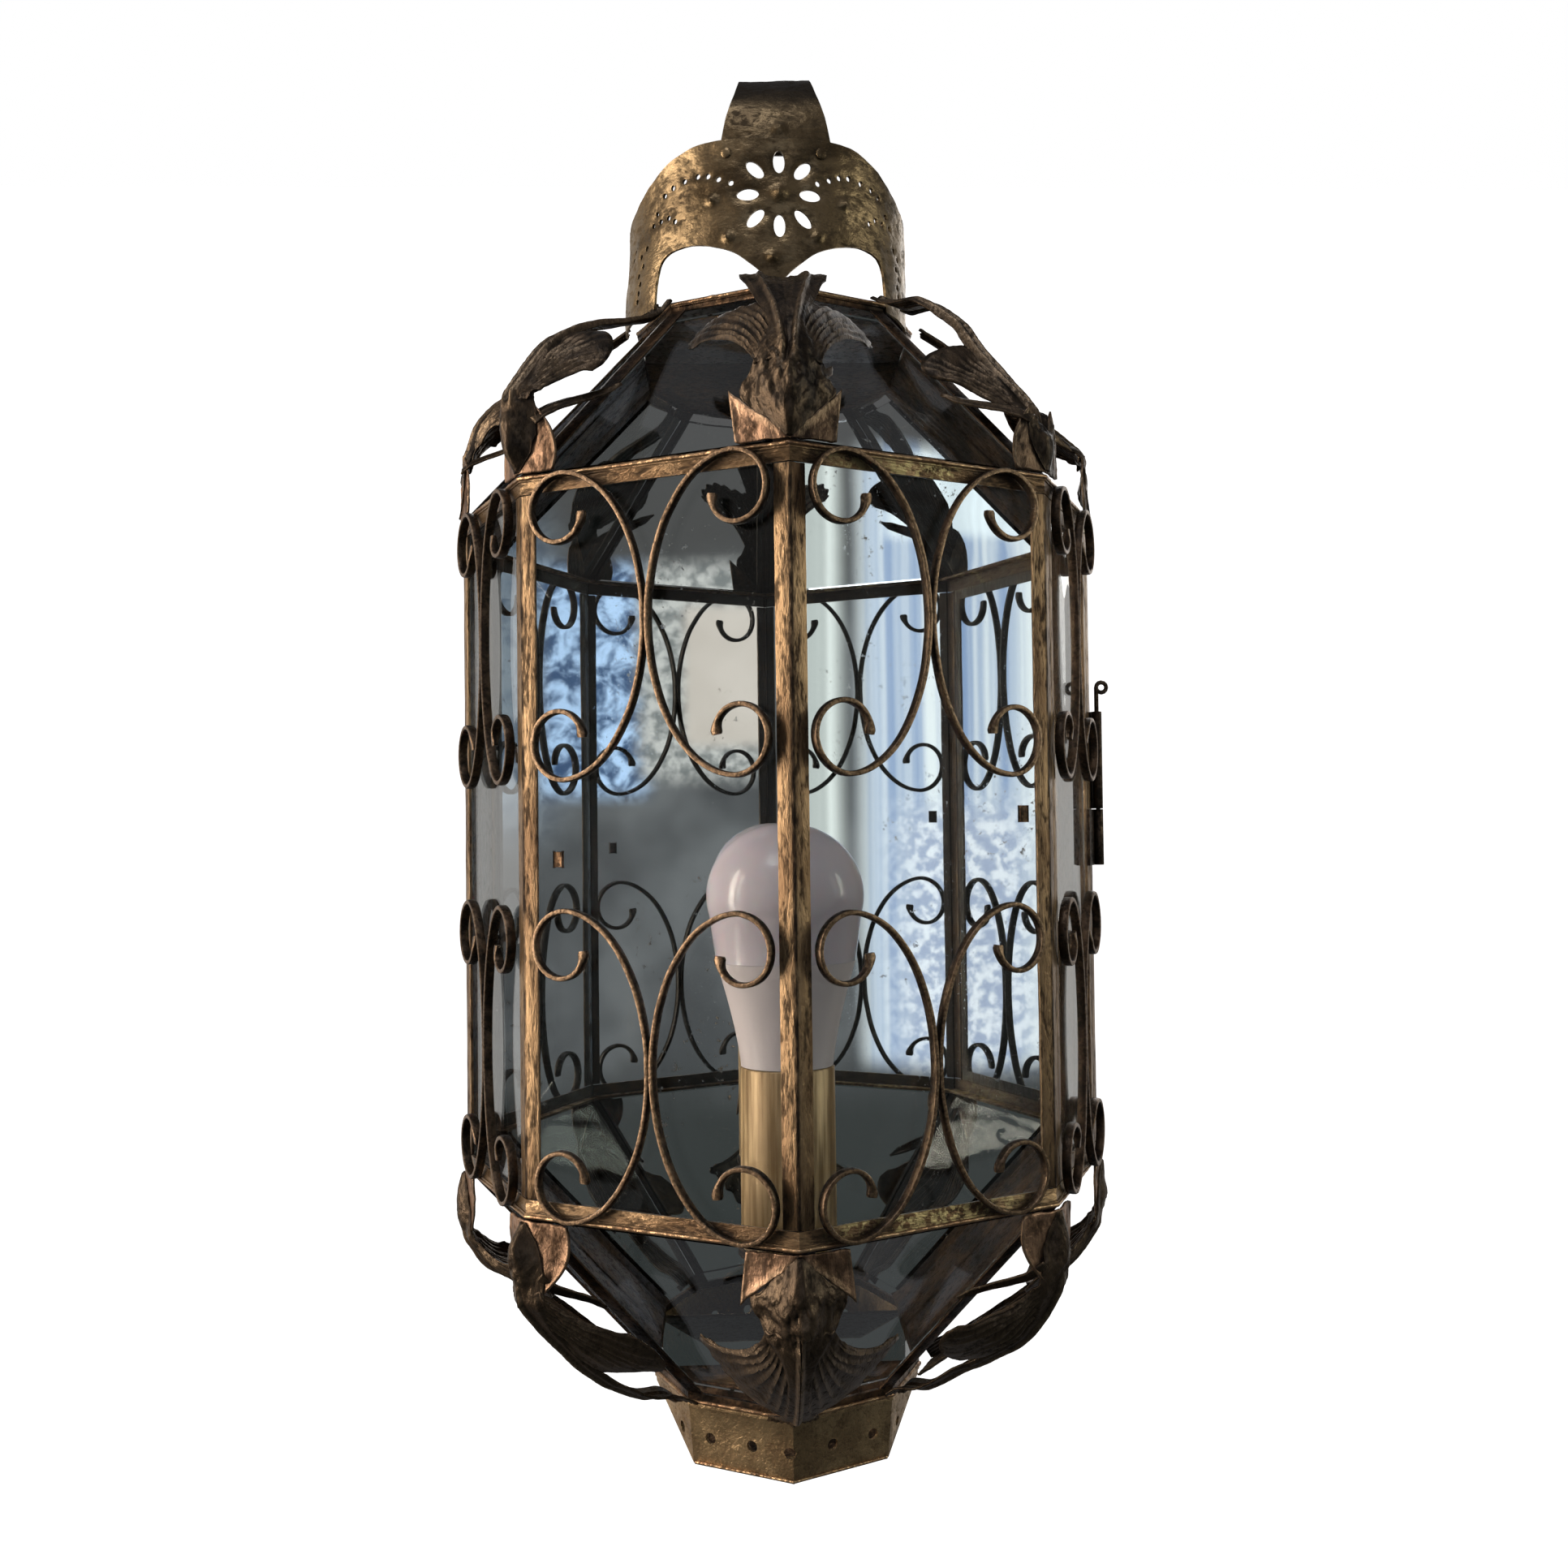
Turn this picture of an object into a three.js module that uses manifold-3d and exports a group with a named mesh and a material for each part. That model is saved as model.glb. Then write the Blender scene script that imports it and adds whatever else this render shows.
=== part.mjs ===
// A wall lantern of glass in soldered brass angle: half an octagon standing on a mirrored back,
// with a glazed roof, a glazed cone and a pierced collar below, a pierced crown with a hanging
// strap on top, C scrolls on the panes and an acanthus leaf at every corner.
// Millimetres, +Z up. The origin is on the wall, level with the middle of the body; -Y is the room.

import * as THREE from "three";
import { mergeVertices } from "three/addons/utils/BufferGeometryUtils.js";
import Module from "manifold-3d";

const wasm = await Module();
wasm.setup();

// Plan of the body, to the outer ridges of its posts
const BACK_DEPTH = 42; // from the wall to the two rear posts
const REAR_HALF_WIDTH = 128;
const SIDE_HALF_WIDTH = 94; // the two posts between the rear ones and the front one
const SIDE_REACH = 79; // how far they stand in front of the rear posts
const FRONT_REACH = 130;

// Heights of the four storeys
const BODY_HEIGHT = 262;
const ROOF_RISE = 78;
const CONE_DROP = 82;
const COLLAR_HEIGHT = 25;
const TOP_RING_HALF_WIDTH = 56;
const COLLAR_HALF_WIDTH = 53;

// Sheet, angle bars and glass
const SHEET = 1.2;
const GAP = 0.3; // clearance between pieces that touch
const FLANGE = 6; // each leg of a post or a rib
const RAIL_HEIGHT = 6.5;
const RAIL_SHELF = 7; // how far a rail reaches in, under or over the panes
const BEAD_HEIGHT = 2;
const BEAD_PROUD = 0.5;
const TOP_RING_HEIGHT = 4;
const CONE_RING_HEIGHT = 3;
const COVER_RECESS = 1.5; // how deep the sheet that closes the top sits in its ring
const GLASS = 2;
const MIRROR_THICKNESS = 3;
const PANE_MARGIN = 3.2; // what a sloped pane keeps clear of each ridge

// Pierced collar
const COLLAR_INSET = 2; // how much it draws in towards its foot
const COLLAR_HOLES = 7;
const COLLAR_HOLE_PITCH = 18;
const COLLAR_HOLE_RADIUS = 1.8;
const COLLAR_HOLE_DROP = 13.8; // from the cone's end to the holes

// C scrolls, flat strip on edge
const SCROLL_HEIGHT = 107;
const SCROLL_CURL = 13.6; // radius where a curl starts
const SCROLL_TIP = 8; // and where it ends
const SCROLL_WIDTH = 1.9;
const SCROLL_FLARE = 2; // how much wider the tip is
const SCROLL_DEPTH = 3.6;
const SCROLL_EDGE = 5.4; // from the ridge of the post to the strip's middle
const SCROLL_END = 1.3; // from the rail's outer edge to the strip's middle
const SOLDER_LAP = 0.15; // how far two soldered strips run into each other

// Acanthus leaves
const LEAF_THICKNESS = 0.9;
// How far each leaf bows out from its ridge, from the left rear corner round to the right one
const UPPER_LEAF_BOWS = [18, 25, 25, 17, 15];
const LOWER_LEAF_BOWS = [18, 22, 25, 22, 22];
const LEAF_WIDTH = 33; // half width over the big lobes
const LEAF_RIDGE = 3; // height of the midrib
const LEAF_DROOP = 13; // how far the tips of the lobes hang back
const LEAF_TIP_DROP = 3; // from the far edge of the ring back to the leaf's end
const LEAF_LOBE = 0.7; // where the lobes are widest, as a share of the length
const LEAF_LOBE_FROM = 0.4;
const LEAF_LOBE_TO = 0.82;
const LEAF_CLEARANCE = 1; // between the lobes of two leaves, on either side

// Crown, strap and rivets
const CROWN_HEIGHT = 54;
const CROWN_SHOULDER_DROP = 17; // how much lower its rear ends are
const CROWN_ARCH = 27; // height of the two arches over the top ring
const CROWN_LEG_ANGLE = 52; // a leg runs from here to 90 degrees
const FLOWER_HEIGHT = 34.5;
const FLOWER_RADIUS = 12.8;
const PETAL_LENGTH = 8.6;
const PETAL_WIDTH = 4;
const DOT_DIAMETER = 2;
const STRAP_FOOT_WIDTH = 42;
const STRAP_TOP_WIDTH = 30;
const STRAP_LAP = 13; // how far it reaches down behind the crown
const STRAP_TOP = 113; // its highest point over the top ring
const STRAP_TAIL = 34; // how far it comes down again along the wall
const STRAP_TURN = 12; // radius of its bend down the wall
const STRAP_RISE = 34; // how far it goes on straight up before it leans back
const STRAP_LEVEL = 50; // how far before that bend it begins to level out
const NAIL_HOLE = 7;
const RIVET_DIAMETER = 2.4;
const RIVET_HEAD = 4.6;
const RIVET_ANGLE = 18.5; // of each strap rivet, from the front
const RIVET_DROP = 5; // from the crown's upper edge to the rivets

// Side door and its hinge
const DOOR_BAR = 5;
const KNUCKLE_RADIUS = 2;
const HINGE_STAND_OFF = 0.8; // from the post's ridge to the knuckles
const HINGE_BOTTOM = -12;
const HINGE_SPLIT = 10.8; // the door's knuckle below it, the post's above
const HINGE_TOP = 51;
const HINGE_LEAF = 1;
const HINGE_LEAF_WIDTH = 12;
const PIN_DIAMETER = 1.8;
const PIN_RING_RADIUS = 3;
const PIN_RISE = 7; // from the upper knuckle to the ring

// Lamp
const LAMP_REACH = 38; // from the rear posts' plane to the lamp's axis
const LAMP_SEAT = 22; // the arm's top, below the body
const ARM_THICKNESS = 2.5;
const ARM_WIDTH = 16;
const ARM_DISC = 19;
const BRACKET_HEIGHT = 34;
const SLEEVE_RADIUS = 17.8;
const SLEEVE_WALL = 2;
const SLEEVE_HEIGHT = 67.5;
const HOLDER_WALL = 1.7;
const SOCKET_DEPTH = 29;
const NIPPLE_RADIUS = 5;
const BULB_HEIGHT = 92; // above the sleeve
const BULB_RADIUS = 29.8;
const CAP_HEIGHT = 25;

// Heights above the origin that follow from the storeys
const BODY_TOP = BODY_HEIGHT / 2;
const ROOF_TOP = BODY_TOP + ROOF_RISE;
const ROOF_EAVES = ROOF_TOP - TOP_RING_HEIGHT; // under the top ring
const CONE_END = -BODY_TOP - CONE_DROP;
const CONE_EAVES = CONE_END + CONE_RING_HEIGHT; // over the cone's ring
const COLLAR_END = CONE_END - COLLAR_HEIGHT;
const RIVET_HEIGHT = CROWN_HEIGHT - RIVET_DROP; // over the top ring
const MIRROR_BACK = SHEET + GAP;
const MIRROR_FRONT = MIRROR_BACK + MIRROR_THICKNESS;
const PANE_BACK = -(SHEET + GAP + GLASS); // behind the outer face of the bars
const SEAT_Z = -BODY_TOP - LAMP_SEAT;
const RIVET_Z = SEAT_Z + BRACKET_HEIGHT * 0.5;
const LAMP_Y = -BACK_DEPTH - LAMP_REACH;
const CROWN_RADIUS = TOP_RING_HALF_WIDTH + BEAD_PROUD;
const TOP_SCALE = TOP_RING_HALF_WIDTH / REAR_HALF_WIDTH;
const COLLAR_SCALE = COLLAR_HALF_WIDTH / REAR_HALF_WIDTH;

const GILT = { color: 0x8a6a3c, roughness: 0.5, metalness: 0.85 };
const DARK_GILT = { color: 0x4a3624, roughness: 0.6, metalness: 0.75 };
const IRON = { color: 0x2e2620, roughness: 0.6, metalness: 0.8 };
const CLEAR = { color: 0xdfe6ea, roughness: 0.05, metalness: 0, transparent: true, opacity: 0.25 };
const SILVERED = { color: 0xc9d2da, roughness: 0.05, metalness: 1 };
const FROSTED = { color: 0xe6e2ea, roughness: 0.3, metalness: 0 };
const IVORY = { color: 0xb59a6a, roughness: 0.5, metalness: 0 };
const WHITE = { color: 0xe9e6e4, roughness: 0.4, metalness: 0 };

const lantern = new THREE.Group();

function piece(name, geometry, finish, parent = lantern) {
  const mesh = new THREE.Mesh(geometry, new THREE.MeshStandardMaterial(finish));
  mesh.name = name;
  parent.add(mesh);
  return mesh;
}

// Plan geometry. A path runs left to right round the front, so outward is on its right hand.

const CORNERS = [
  ["left_back", -REAR_HALF_WIDTH, 0],
  ["left_front", -SIDE_HALF_WIDTH, SIDE_REACH],
  ["front", 0, FRONT_REACH],
  ["right_front", SIDE_HALF_WIDTH, SIDE_REACH],
  ["right_back", REAR_HALF_WIDTH, 0],
];
const FACES = ["left_side", "front_left", "front_right", "right_side"];
const DOOR_FACE = 3;

// The five ridges at one height of the lantern, with a short return behind the rear ones
function planPath(scale) {
  const ridges = CORNERS.map(([, x, reach]) => [x * scale, -BACK_DEPTH - reach * scale]);
  const left = [ridges[0][0], -BACK_DEPTH + FLANGE];
  const right = [ridges[4][0], -BACK_DEPTH + FLANGE];
  return [left, ...ridges, right];
}

function normalOf(a, b) {
  const length = Math.hypot(b[0] - a[0], b[1] - a[1]);
  return [(b[1] - a[1]) / length, (a[0] - b[0]) / length];
}

// The mitred direction that moves corner i of a path outward by one unit
function outward(path, i, closed = false) {
  const n = path.length;
  const before = i > 0 || closed ? normalOf(path[(i + n - 1) % n], path[i]) : null;
  const after = i < n - 1 || closed ? normalOf(path[i], path[(i + 1) % n]) : null;
  const a = before ?? after;
  const b = after ?? before;
  const share = 1 + a[0] * b[0] + a[1] * b[1];
  return [(a[0] + b[0]) / share, (a[1] + b[1]) / share];
}

function offset(path, distance, closed = false) {
  return path.map((point, i) => {
    const direction = outward(path, i, closed);
    return [point[0] + direction[0] * distance, point[1] + direction[1] * distance];
  });
}

function towards(from, to, distance) {
  const length = Math.hypot(to[0] - from[0], to[1] - from[1]);
  return [0, 1].map((i) => from[i] + ((to[i] - from[i]) * distance) / length);
}

// The point at a distance along a path, and which of its legs it lies on
function alongPath(path, distance) {
  let left = distance;
  for (let i = 0; i < path.length - 1; i++) {
    const length = Math.hypot(path[i + 1][0] - path[i][0], path[i + 1][1] - path[i][1]);
    if (left <= length || i === path.length - 2) return [towards(path[i], path[i + 1], left), i];
    left -= length;
  }
  return [path[0], 0];
}

// Solids

// Joins closed rings of 3-D points into one skin; outline is a ring's shape in plan, for the caps
function skin(rings, outline) {
  const count = rings[0].length;
  const positions = rings.flat(2);
  const index = [];
  for (let r = 0; r < rings.length - 1; r++) {
    for (let i = 0; i < count; i++) {
      const a = r * count + i;
      const b = r * count + ((i + 1) % count);
      index.push(a, b, b + count, a, b + count, a + count);
    }
  }
  const flat = outline.map(([x, y]) => new THREE.Vector2(x, y));
  const last = (rings.length - 1) * count;
  const turned = THREE.ShapeUtils.isClockWise(flat);
  for (const [a, b, c] of THREE.ShapeUtils.triangulateShape(flat, [])) {
    const [p, q] = turned ? [b, c] : [c, b];
    index.push(a, p, q, last + a, last + q, last + p);
  }
  const geometry = new THREE.BufferGeometry();
  geometry.setAttribute("position", new THREE.Float32BufferAttribute(positions, 3));
  geometry.setIndex(index);
  return volumeOf(geometry) < 0 ? insideOut(geometry) : geometry;
}

function volumeOf(geometry) {
  const p = geometry.getAttribute("position");
  const [a, b, c] = [new THREE.Vector3(), new THREE.Vector3(), new THREE.Vector3()];
  const index = geometry.index.array;
  let volume = 0;
  for (let i = 0; i < index.length; i += 3) {
    a.fromBufferAttribute(p, index[i]);
    b.fromBufferAttribute(p, index[i + 1]);
    c.fromBufferAttribute(p, index[i + 2]);
    volume += a.dot(b.cross(c)) / 6;
  }
  return volume;
}

function insideOut(geometry) {
  const index = Array.from(geometry.index.array);
  for (let i = 0; i < index.length; i += 3) [index[i], index[i + 1]] = [index[i + 1], index[i]];
  geometry.setIndex(index);
  return geometry;
}

function toSolid(geometry) {
  const bare = geometry.clone();
  bare.deleteAttribute("normal");
  bare.deleteAttribute("uv");
  const merged = mergeVertices(bare, 1e-4);
  const mesh = new wasm.Mesh({
    numProp: 3,
    vertProperties: new Float32Array(merged.attributes.position.array),
    triVerts: new Uint32Array(merged.index.array),
  });
  return new wasm.Manifold(mesh);
}

function toGeometry(solid) {
  const mesh = solid.getMesh();
  const geometry = new THREE.BufferGeometry();
  geometry.setAttribute("position", new THREE.Float32BufferAttribute(mesh.vertProperties, 3));
  geometry.setIndex(Array.from(mesh.triVerts));
  return geometry;
}

function join(...geometries) {
  const solids = geometries.map(toSolid);
  return toGeometry(solids.reduce((whole, next) => whole.add(next)));
}

function cut(geometry, tools) {
  const solid = tools.map(toSolid).reduce((rest, tool) => rest.subtract(tool), toSolid(geometry));
  return toGeometry(solid);
}

function shapeOf(points) {
  return new THREE.Shape(points.map(([x, y]) => new THREE.Vector2(x, y)));
}

function slab(shape, depth, start = 0) {
  const options = { depth, bevelEnabled: false, curveSegments: 9 };
  const geometry = new THREE.ExtrudeGeometry(shape, options);
  return geometry.translate(0, 0, start);
}

// A turned piece standing on z = 0 from a profile of [radius, height]
function turned(profile, sides = 24) {
  const points = profile.map(([r, z]) => new THREE.Vector2(r, z));
  return new THREE.LatheGeometry(points, sides).rotateX(Math.PI / 2);
}

function tube(outer, inner, from, to, sides = 24) {
  return turned([[inner, from], [outer, from], [outer, to], [inner, to], [inner, from]], sides);
}

function rod(radius, from, to, sides = 16) {
  return turned([[0, from], [radius, from], [radius, to], [0, to]], sides);
}

// A bar of one section, given as [outward, up], mitred round a path at height z
function mitredBar(path, section, z) {
  const rings = path.map((point, i) => {
    const direction = outward(path, i);
    return section.map(([out, up]) => [
      point[0] + direction[0] * out,
      point[1] + direction[1] * out,
      z + up,
    ]);
  });
  return skin(rings, section);
}

// The horizontal section of an angle bar whose ridge is corner i of a plan path
function angleSection(path, i) {
  const outer = [
    towards(path[i], path[i - 1], FLANGE),
    path[i],
    towards(path[i], path[i + 1], FLANGE),
  ];
  return [...outer, ...offset(outer, -SHEET).reverse()];
}

// Frame

function rail(name, side) {
  const section = [
    [-SHEET, -RAIL_HEIGHT],
    [0, -RAIL_HEIGHT],
    [0, -BEAD_HEIGHT],
    [BEAD_PROUD, -BEAD_HEIGHT],
    [BEAD_PROUD, 0],
    [-RAIL_SHELF, 0],
    [-RAIL_SHELF, -SHEET],
    [-SHEET, -SHEET],
  ].map(([out, up]) => [out, up * side]);
  piece(name, mitredBar(planPath(1), section, BODY_TOP * side), GILT);
}

function posts() {
  const half = BODY_TOP - RAIL_HEIGHT - GAP;
  const path = planPath(1);
  CORNERS.forEach(([name], i) => {
    const geometry = slab(shapeOf(angleSection(path, i + 1)), 2 * half, -half);
    piece(`post_${name}`, geometry, GILT);
  });
}

// A level sheet inside a ring of the frame, soldered to it, that reaches back to the mirror
function cover(scale, inset, z) {
  const edge = offset(planPath(scale), -inset);
  const half = REAR_HALF_WIDTH * scale - SHEET - GAP;
  const rear = -(MIRROR_FRONT + GAP);
  const left = [[-half, rear], [-half, edge[0][1]]];
  const right = [[half, edge[0][1]], [half, rear]];
  return slab(shapeOf([...left, ...edge, ...right]), SHEET, z);
}

// Five ribs from the body's ridges to a smaller ring, soldered to it
function ribsAndRing(scale, start, end, ring, ringZ) {
  const wide = planPath(1);
  const narrow = planPath(scale);
  const ribs = CORNERS.map((_, i) => {
    const foot = angleSection(wide, i + 1);
    const head = angleSection(narrow, i + 1);
    return skin([foot.map(([x, y]) => [x, y, start]), head.map(([x, y]) => [x, y, end])], foot);
  });
  return join(mitredBar(narrow, ring, ringZ), ...ribs);
}

function roofFrame() {
  const ring = [
    [-SHEET, -TOP_RING_HEIGHT],
    [0, -TOP_RING_HEIGHT],
    [0, -BEAD_HEIGHT],
    [BEAD_PROUD, -BEAD_HEIGHT],
    [BEAD_PROUD, 0],
    [-SHEET, 0],
  ];
  const open = ribsAndRing(TOP_SCALE, BODY_TOP + GAP, ROOF_EAVES + 0.5, ring, ROOF_TOP);
  const closed = join(open, cover(TOP_SCALE, SHEET / 2, ROOF_TOP - COVER_RECESS - SHEET));
  piece("roof_frame", closed, DARK_GILT);
}

function coneFrame() {
  const ring = [
    [-SHEET, 0],
    [BEAD_PROUD, 0],
    [BEAD_PROUD, CONE_RING_HEIGHT],
    [-SHEET, CONE_RING_HEIGHT],
  ];
  const start = -BODY_TOP - GAP;
  const end = CONE_EAVES - 0.5;
  piece("cone_frame", ribsAndRing(COLLAR_SCALE, start, end, ring, CONE_END), DARK_GILT);
}

function piercedCollar() {
  const height = COLLAR_HEIGHT - GAP;
  const section = [
    [-SHEET, -GAP],
    [BEAD_PROUD, -GAP],
    [BEAD_PROUD, -GAP - BEAD_HEIGHT],
    [0, -GAP - BEAD_HEIGHT],
    [-COLLAR_INSET, -height],
    [-COLLAR_INSET - SHEET, -height],
  ];
  const path = planPath(COLLAR_SCALE);
  const band = mitredBar(path, section, CONE_END);
  const front = path.slice(3);
  const punches = [];
  for (let k = 0; k < COLLAR_HOLES; k++) {
    const distance = (k - (COLLAR_HOLES - 1) / 2) * COLLAR_HOLE_PITCH;
    const [point, leg] = alongPath(front, Math.abs(distance) + 0.01);
    const normal = normalOf(front[leg], front[leg + 1]);
    const sign = distance < 0 ? -1 : 1;
    const punch = rod(COLLAR_HOLE_RADIUS, -4, 4, 8).rotateX(Math.PI / 2);
    punch.rotateZ(Math.atan2(normal[0], -normal[1]) * sign);
    punches.push(punch.translate(point[0] * sign, point[1], CONE_END - COLLAR_HOLE_DROP));
  }
  const floor = cover(COLLAR_SCALE, COLLAR_INSET + SHEET / 2, CONE_END - height);
  piece("pierced_collar", join(cut(band, punches), floor), GILT);
}

// Back

// The back's outline seen from the room, left half from the collar up, then the right half
function backOutline() {
  const left = [
    [-COLLAR_HALF_WIDTH, COLLAR_END],
    [-COLLAR_HALF_WIDTH, CONE_EAVES],
    [-REAR_HALF_WIDTH, -BODY_TOP],
    [-REAR_HALF_WIDTH, BODY_TOP],
    [-TOP_RING_HALF_WIDTH, ROOF_EAVES],
    [-TOP_RING_HALF_WIDTH, ROOF_TOP],
  ];
  const right = left.map(([x, z]) => [-x, z]).reverse();
  return [...left, ...right];
}

// Lays a shape drawn in x and z flat against the wall, from depth a to depth b in front of it
function onWall(shape, a, b) {
  return slab(shape, b - a).rotateX(Math.PI / 2).translate(0, -a, 0);
}

function back() {
  const outline = backOutline();
  const rivetHole = new THREE.Path().absarc(0, RIVET_Z, RIVET_DIAMETER / 2 + GAP, 0, 2 * Math.PI);
  const plate = shapeOf(outline);
  plate.holes.push(rivetHole);
  piece("back_plate", onWall(plate, 0, SHEET), DARK_GILT);
  const glass = shapeOf(offset(outline, SHEET + GAP, true));
  glass.holes.push(rivetHole.clone());
  piece("mirror", onWall(glass, MIRROR_BACK, MIRROR_FRONT), SILVERED);
  const half = outline.slice(0, outline.length / 2);
  const strip = shapeOf([...half, ...offset(half, SHEET).reverse()]);
  const depths = [MIRROR_BACK, BACK_DEPTH - FLANGE - GAP];
  piece("side_return_left", onWall(strip, ...depths), DARK_GILT);
  const mirrored = [...half, ...offset(half, SHEET).reverse()].map(([x, z]) => [-x, z]).reverse();
  piece("side_return_right", onWall(shapeOf(mirrored), ...depths), DARK_GILT);
}

// Faces. Each has its own frame: x along the face, y up it, z outward, origin at its lower middle.

function faceFrame(index, lowScale, lowZ, highScale, highZ) {
  const low = planPath(lowScale);
  const high = planPath(highScale);
  const corner = (path, i, z) => new THREE.Vector3(path[i][0], path[i][1], z);
  const a = corner(low, index + 1, lowZ);
  const b = corner(low, index + 2, lowZ);
  const c = corner(high, index + 2, highZ);
  const d = corner(high, index + 1, highZ);
  const x = b.clone().sub(a).normalize();
  const z = x.clone().cross(d.clone().sub(a)).normalize();
  const y = z.clone().cross(x);
  const origin = a.clone().add(b).multiplyScalar(0.5);
  const group = new THREE.Group();
  group.quaternion.setFromRotationMatrix(new THREE.Matrix4().makeBasis(x, y, z));
  group.position.copy(origin);
  lantern.add(group);
  const flat = (p) => [p.clone().sub(origin).dot(x), p.clone().sub(origin).dot(y)];
  return { group, outline: [a, b, c, d].map(flat) };
}

// Moves each side of a closed outline inward by its own margin
function inset(outline, margins) {
  const n = outline.length;
  const lines = outline.map((p, i) => {
    const q = outline[(i + 1) % n];
    const normal = normalOf(p, q);
    return { at: [p[0] - normal[0] * margins[i], p[1] - normal[1] * margins[i]], normal };
  });
  return lines.map((line, i) => {
    const other = lines[(i + n - 1) % n];
    const [a, b] = other.normal;
    const [c, d] = line.normal;
    const e = a * other.at[0] + b * other.at[1];
    const f = c * line.at[0] + d * line.at[1];
    const det = a * d - b * c;
    return [(e * d - b * f) / det, (a * f - e * c) / det];
  });
}

function slopedPanes(prefix, lowScale, lowZ, highScale, highZ) {
  FACES.forEach((face, i) => {
    const { group, outline } = faceFrame(i, lowScale, lowZ, highScale, highZ);
    const margins = [PANE_MARGIN, PANE_MARGIN, PANE_MARGIN, PANE_MARGIN];
    const pane = slab(shapeOf(inset(outline, margins)), GLASS, PANE_BACK);
    piece(`${prefix}_${face}`, pane, CLEAR, group);
  });
}

// How far a pane's end stays from a ridge so that it clears the next pane round the corner
function mitreMargin(corner) {
  const [x, y] = outward(planPath(1), corner + 1);
  return (SHEET + GAP + GLASS) * Math.sqrt(x * x + y * y - 1) + GAP;
}

function bodyFace(i) {
  const { group, outline } = faceFrame(i, 1, -BODY_TOP, 1, BODY_TOP);
  const shelf = SHEET + GAP;
  if (i === DOOR_FACE) {
    const edge = FLANGE + GAP;
    const rim = RAIL_HEIGHT + GAP;
    door(group, inset(outline, [rim, edge, rim, edge]));
  } else {
    const margins = [shelf, mitreMargin(i + 1), shelf, mitreMargin(i)];
    const pane = slab(shapeOf(inset(outline, margins)), GLASS, PANE_BACK);
    piece(`pane_${FACES[i]}`, pane, CLEAR, group);
  }
  scrollPairs(group, outline, FACES[i]);
}

// Scrolls

// The middle line of a C whose back is on its right: [x, y, half width of the strip]
function scrollLine(width) {
  const CURL_STEPS = 7;
  const BACK_STEPS = 10;
  const b = SCROLL_HEIGHT / 2;
  const a = width - SCROLL_CURL;
  const curl = [];
  for (let k = CURL_STEPS; k > 0; k--) {
    const t = k / CURL_STEPS;
    const angle = Math.PI / 2 + 1.5 * Math.PI * t;
    const radius = SCROLL_CURL + (SCROLL_TIP - SCROLL_CURL) * t;
    const half = (SCROLL_WIDTH + SCROLL_FLARE * Math.max(0, 7 * t - 6)) / 2;
    curl.push([radius * Math.cos(angle), b - SCROLL_CURL + radius * Math.sin(angle), half]);
  }
  const back = [];
  for (let k = 0; k <= BACK_STEPS; k++) {
    const angle = Math.PI / 2 - (Math.PI * k) / BACK_STEPS;
    back.push([a * Math.cos(angle), b * Math.sin(angle), SCROLL_WIDTH / 2]);
  }
  const lower = curl.map(([x, y, half]) => [x, -y, half]).reverse();
  return [...curl, ...back, ...lower].map(([x, y, half]) => [x + SCROLL_CURL, y, half]);
}

function scroll(width) {
  const line = scrollLine(width);
  const left = [];
  const right = [];
  line.forEach(([x, y, half], i) => {
    const direction = outward(line, i);
    left.push([x - direction[0] * half, y - direction[1] * half]);
    right.push([x + direction[0] * half, y + direction[1] * half]);
  });
  return slab(shapeOf([...left, ...right.reverse()]), SCROLL_DEPTH, BEAD_PROUD + GAP);
}

function scrollPairs(group, outline, face) {
  const left = outline[0][0];
  const right = outline[1][0];
  const middle = (left + right) / 2;
  const width = (right - left) / 2 - SCROLL_EDGE - SCROLL_WIDTH / 2 + SOLDER_LAP;
  const start = left + SCROLL_EDGE;
  const first = scroll(width);
  const second = scroll(width).rotateY(Math.PI);
  second.translate(0, 0, 2 * (BEAD_PROUD + GAP) + SCROLL_DEPTH);
  first.translate(start, 0, 0);
  second.translate(2 * middle - start, 0, 0);
  const pair = join(first, second);
  const rise = SCROLL_HEIGHT / 2 + SCROLL_END;
  piece(`scrolls_upper_${face}`, pair, IRON, group).position.y = 2 * BODY_TOP - rise;
  piece(`scrolls_lower_${face}`, pair, IRON, group).position.y = rise;
}

// Door and hinge

const RIGHT_BACK = CORNERS.length; // place of the right rear ridge in a plan path

function door(group, outline) {
  const frame = shapeOf(outline);
  const bars = [DOOR_BAR, DOOR_BAR, DOOR_BAR, DOOR_BAR];
  frame.holes.push(shapeOf(inset(outline, bars)));
  piece("door_frame", slab(frame, SHEET, -SHEET), GILT, group);
  const rebate = [GAP, GAP + 1, GAP, GAP + 1];
  piece("pane_right_side", slab(shapeOf(inset(outline, rebate)), GLASS, PANE_BACK), CLEAR, group);
}

function hingeAxis() {
  const path = planPath(1);
  const [x, y] = outward(path, RIGHT_BACK);
  const length = Math.hypot(x, y);
  const reach = HINGE_STAND_OFF + KNUCKLE_RADIUS;
  const ridge = path[RIGHT_BACK];
  return [ridge[0] + (x / length) * reach, ridge[1] + (y / length) * reach];
}

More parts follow.
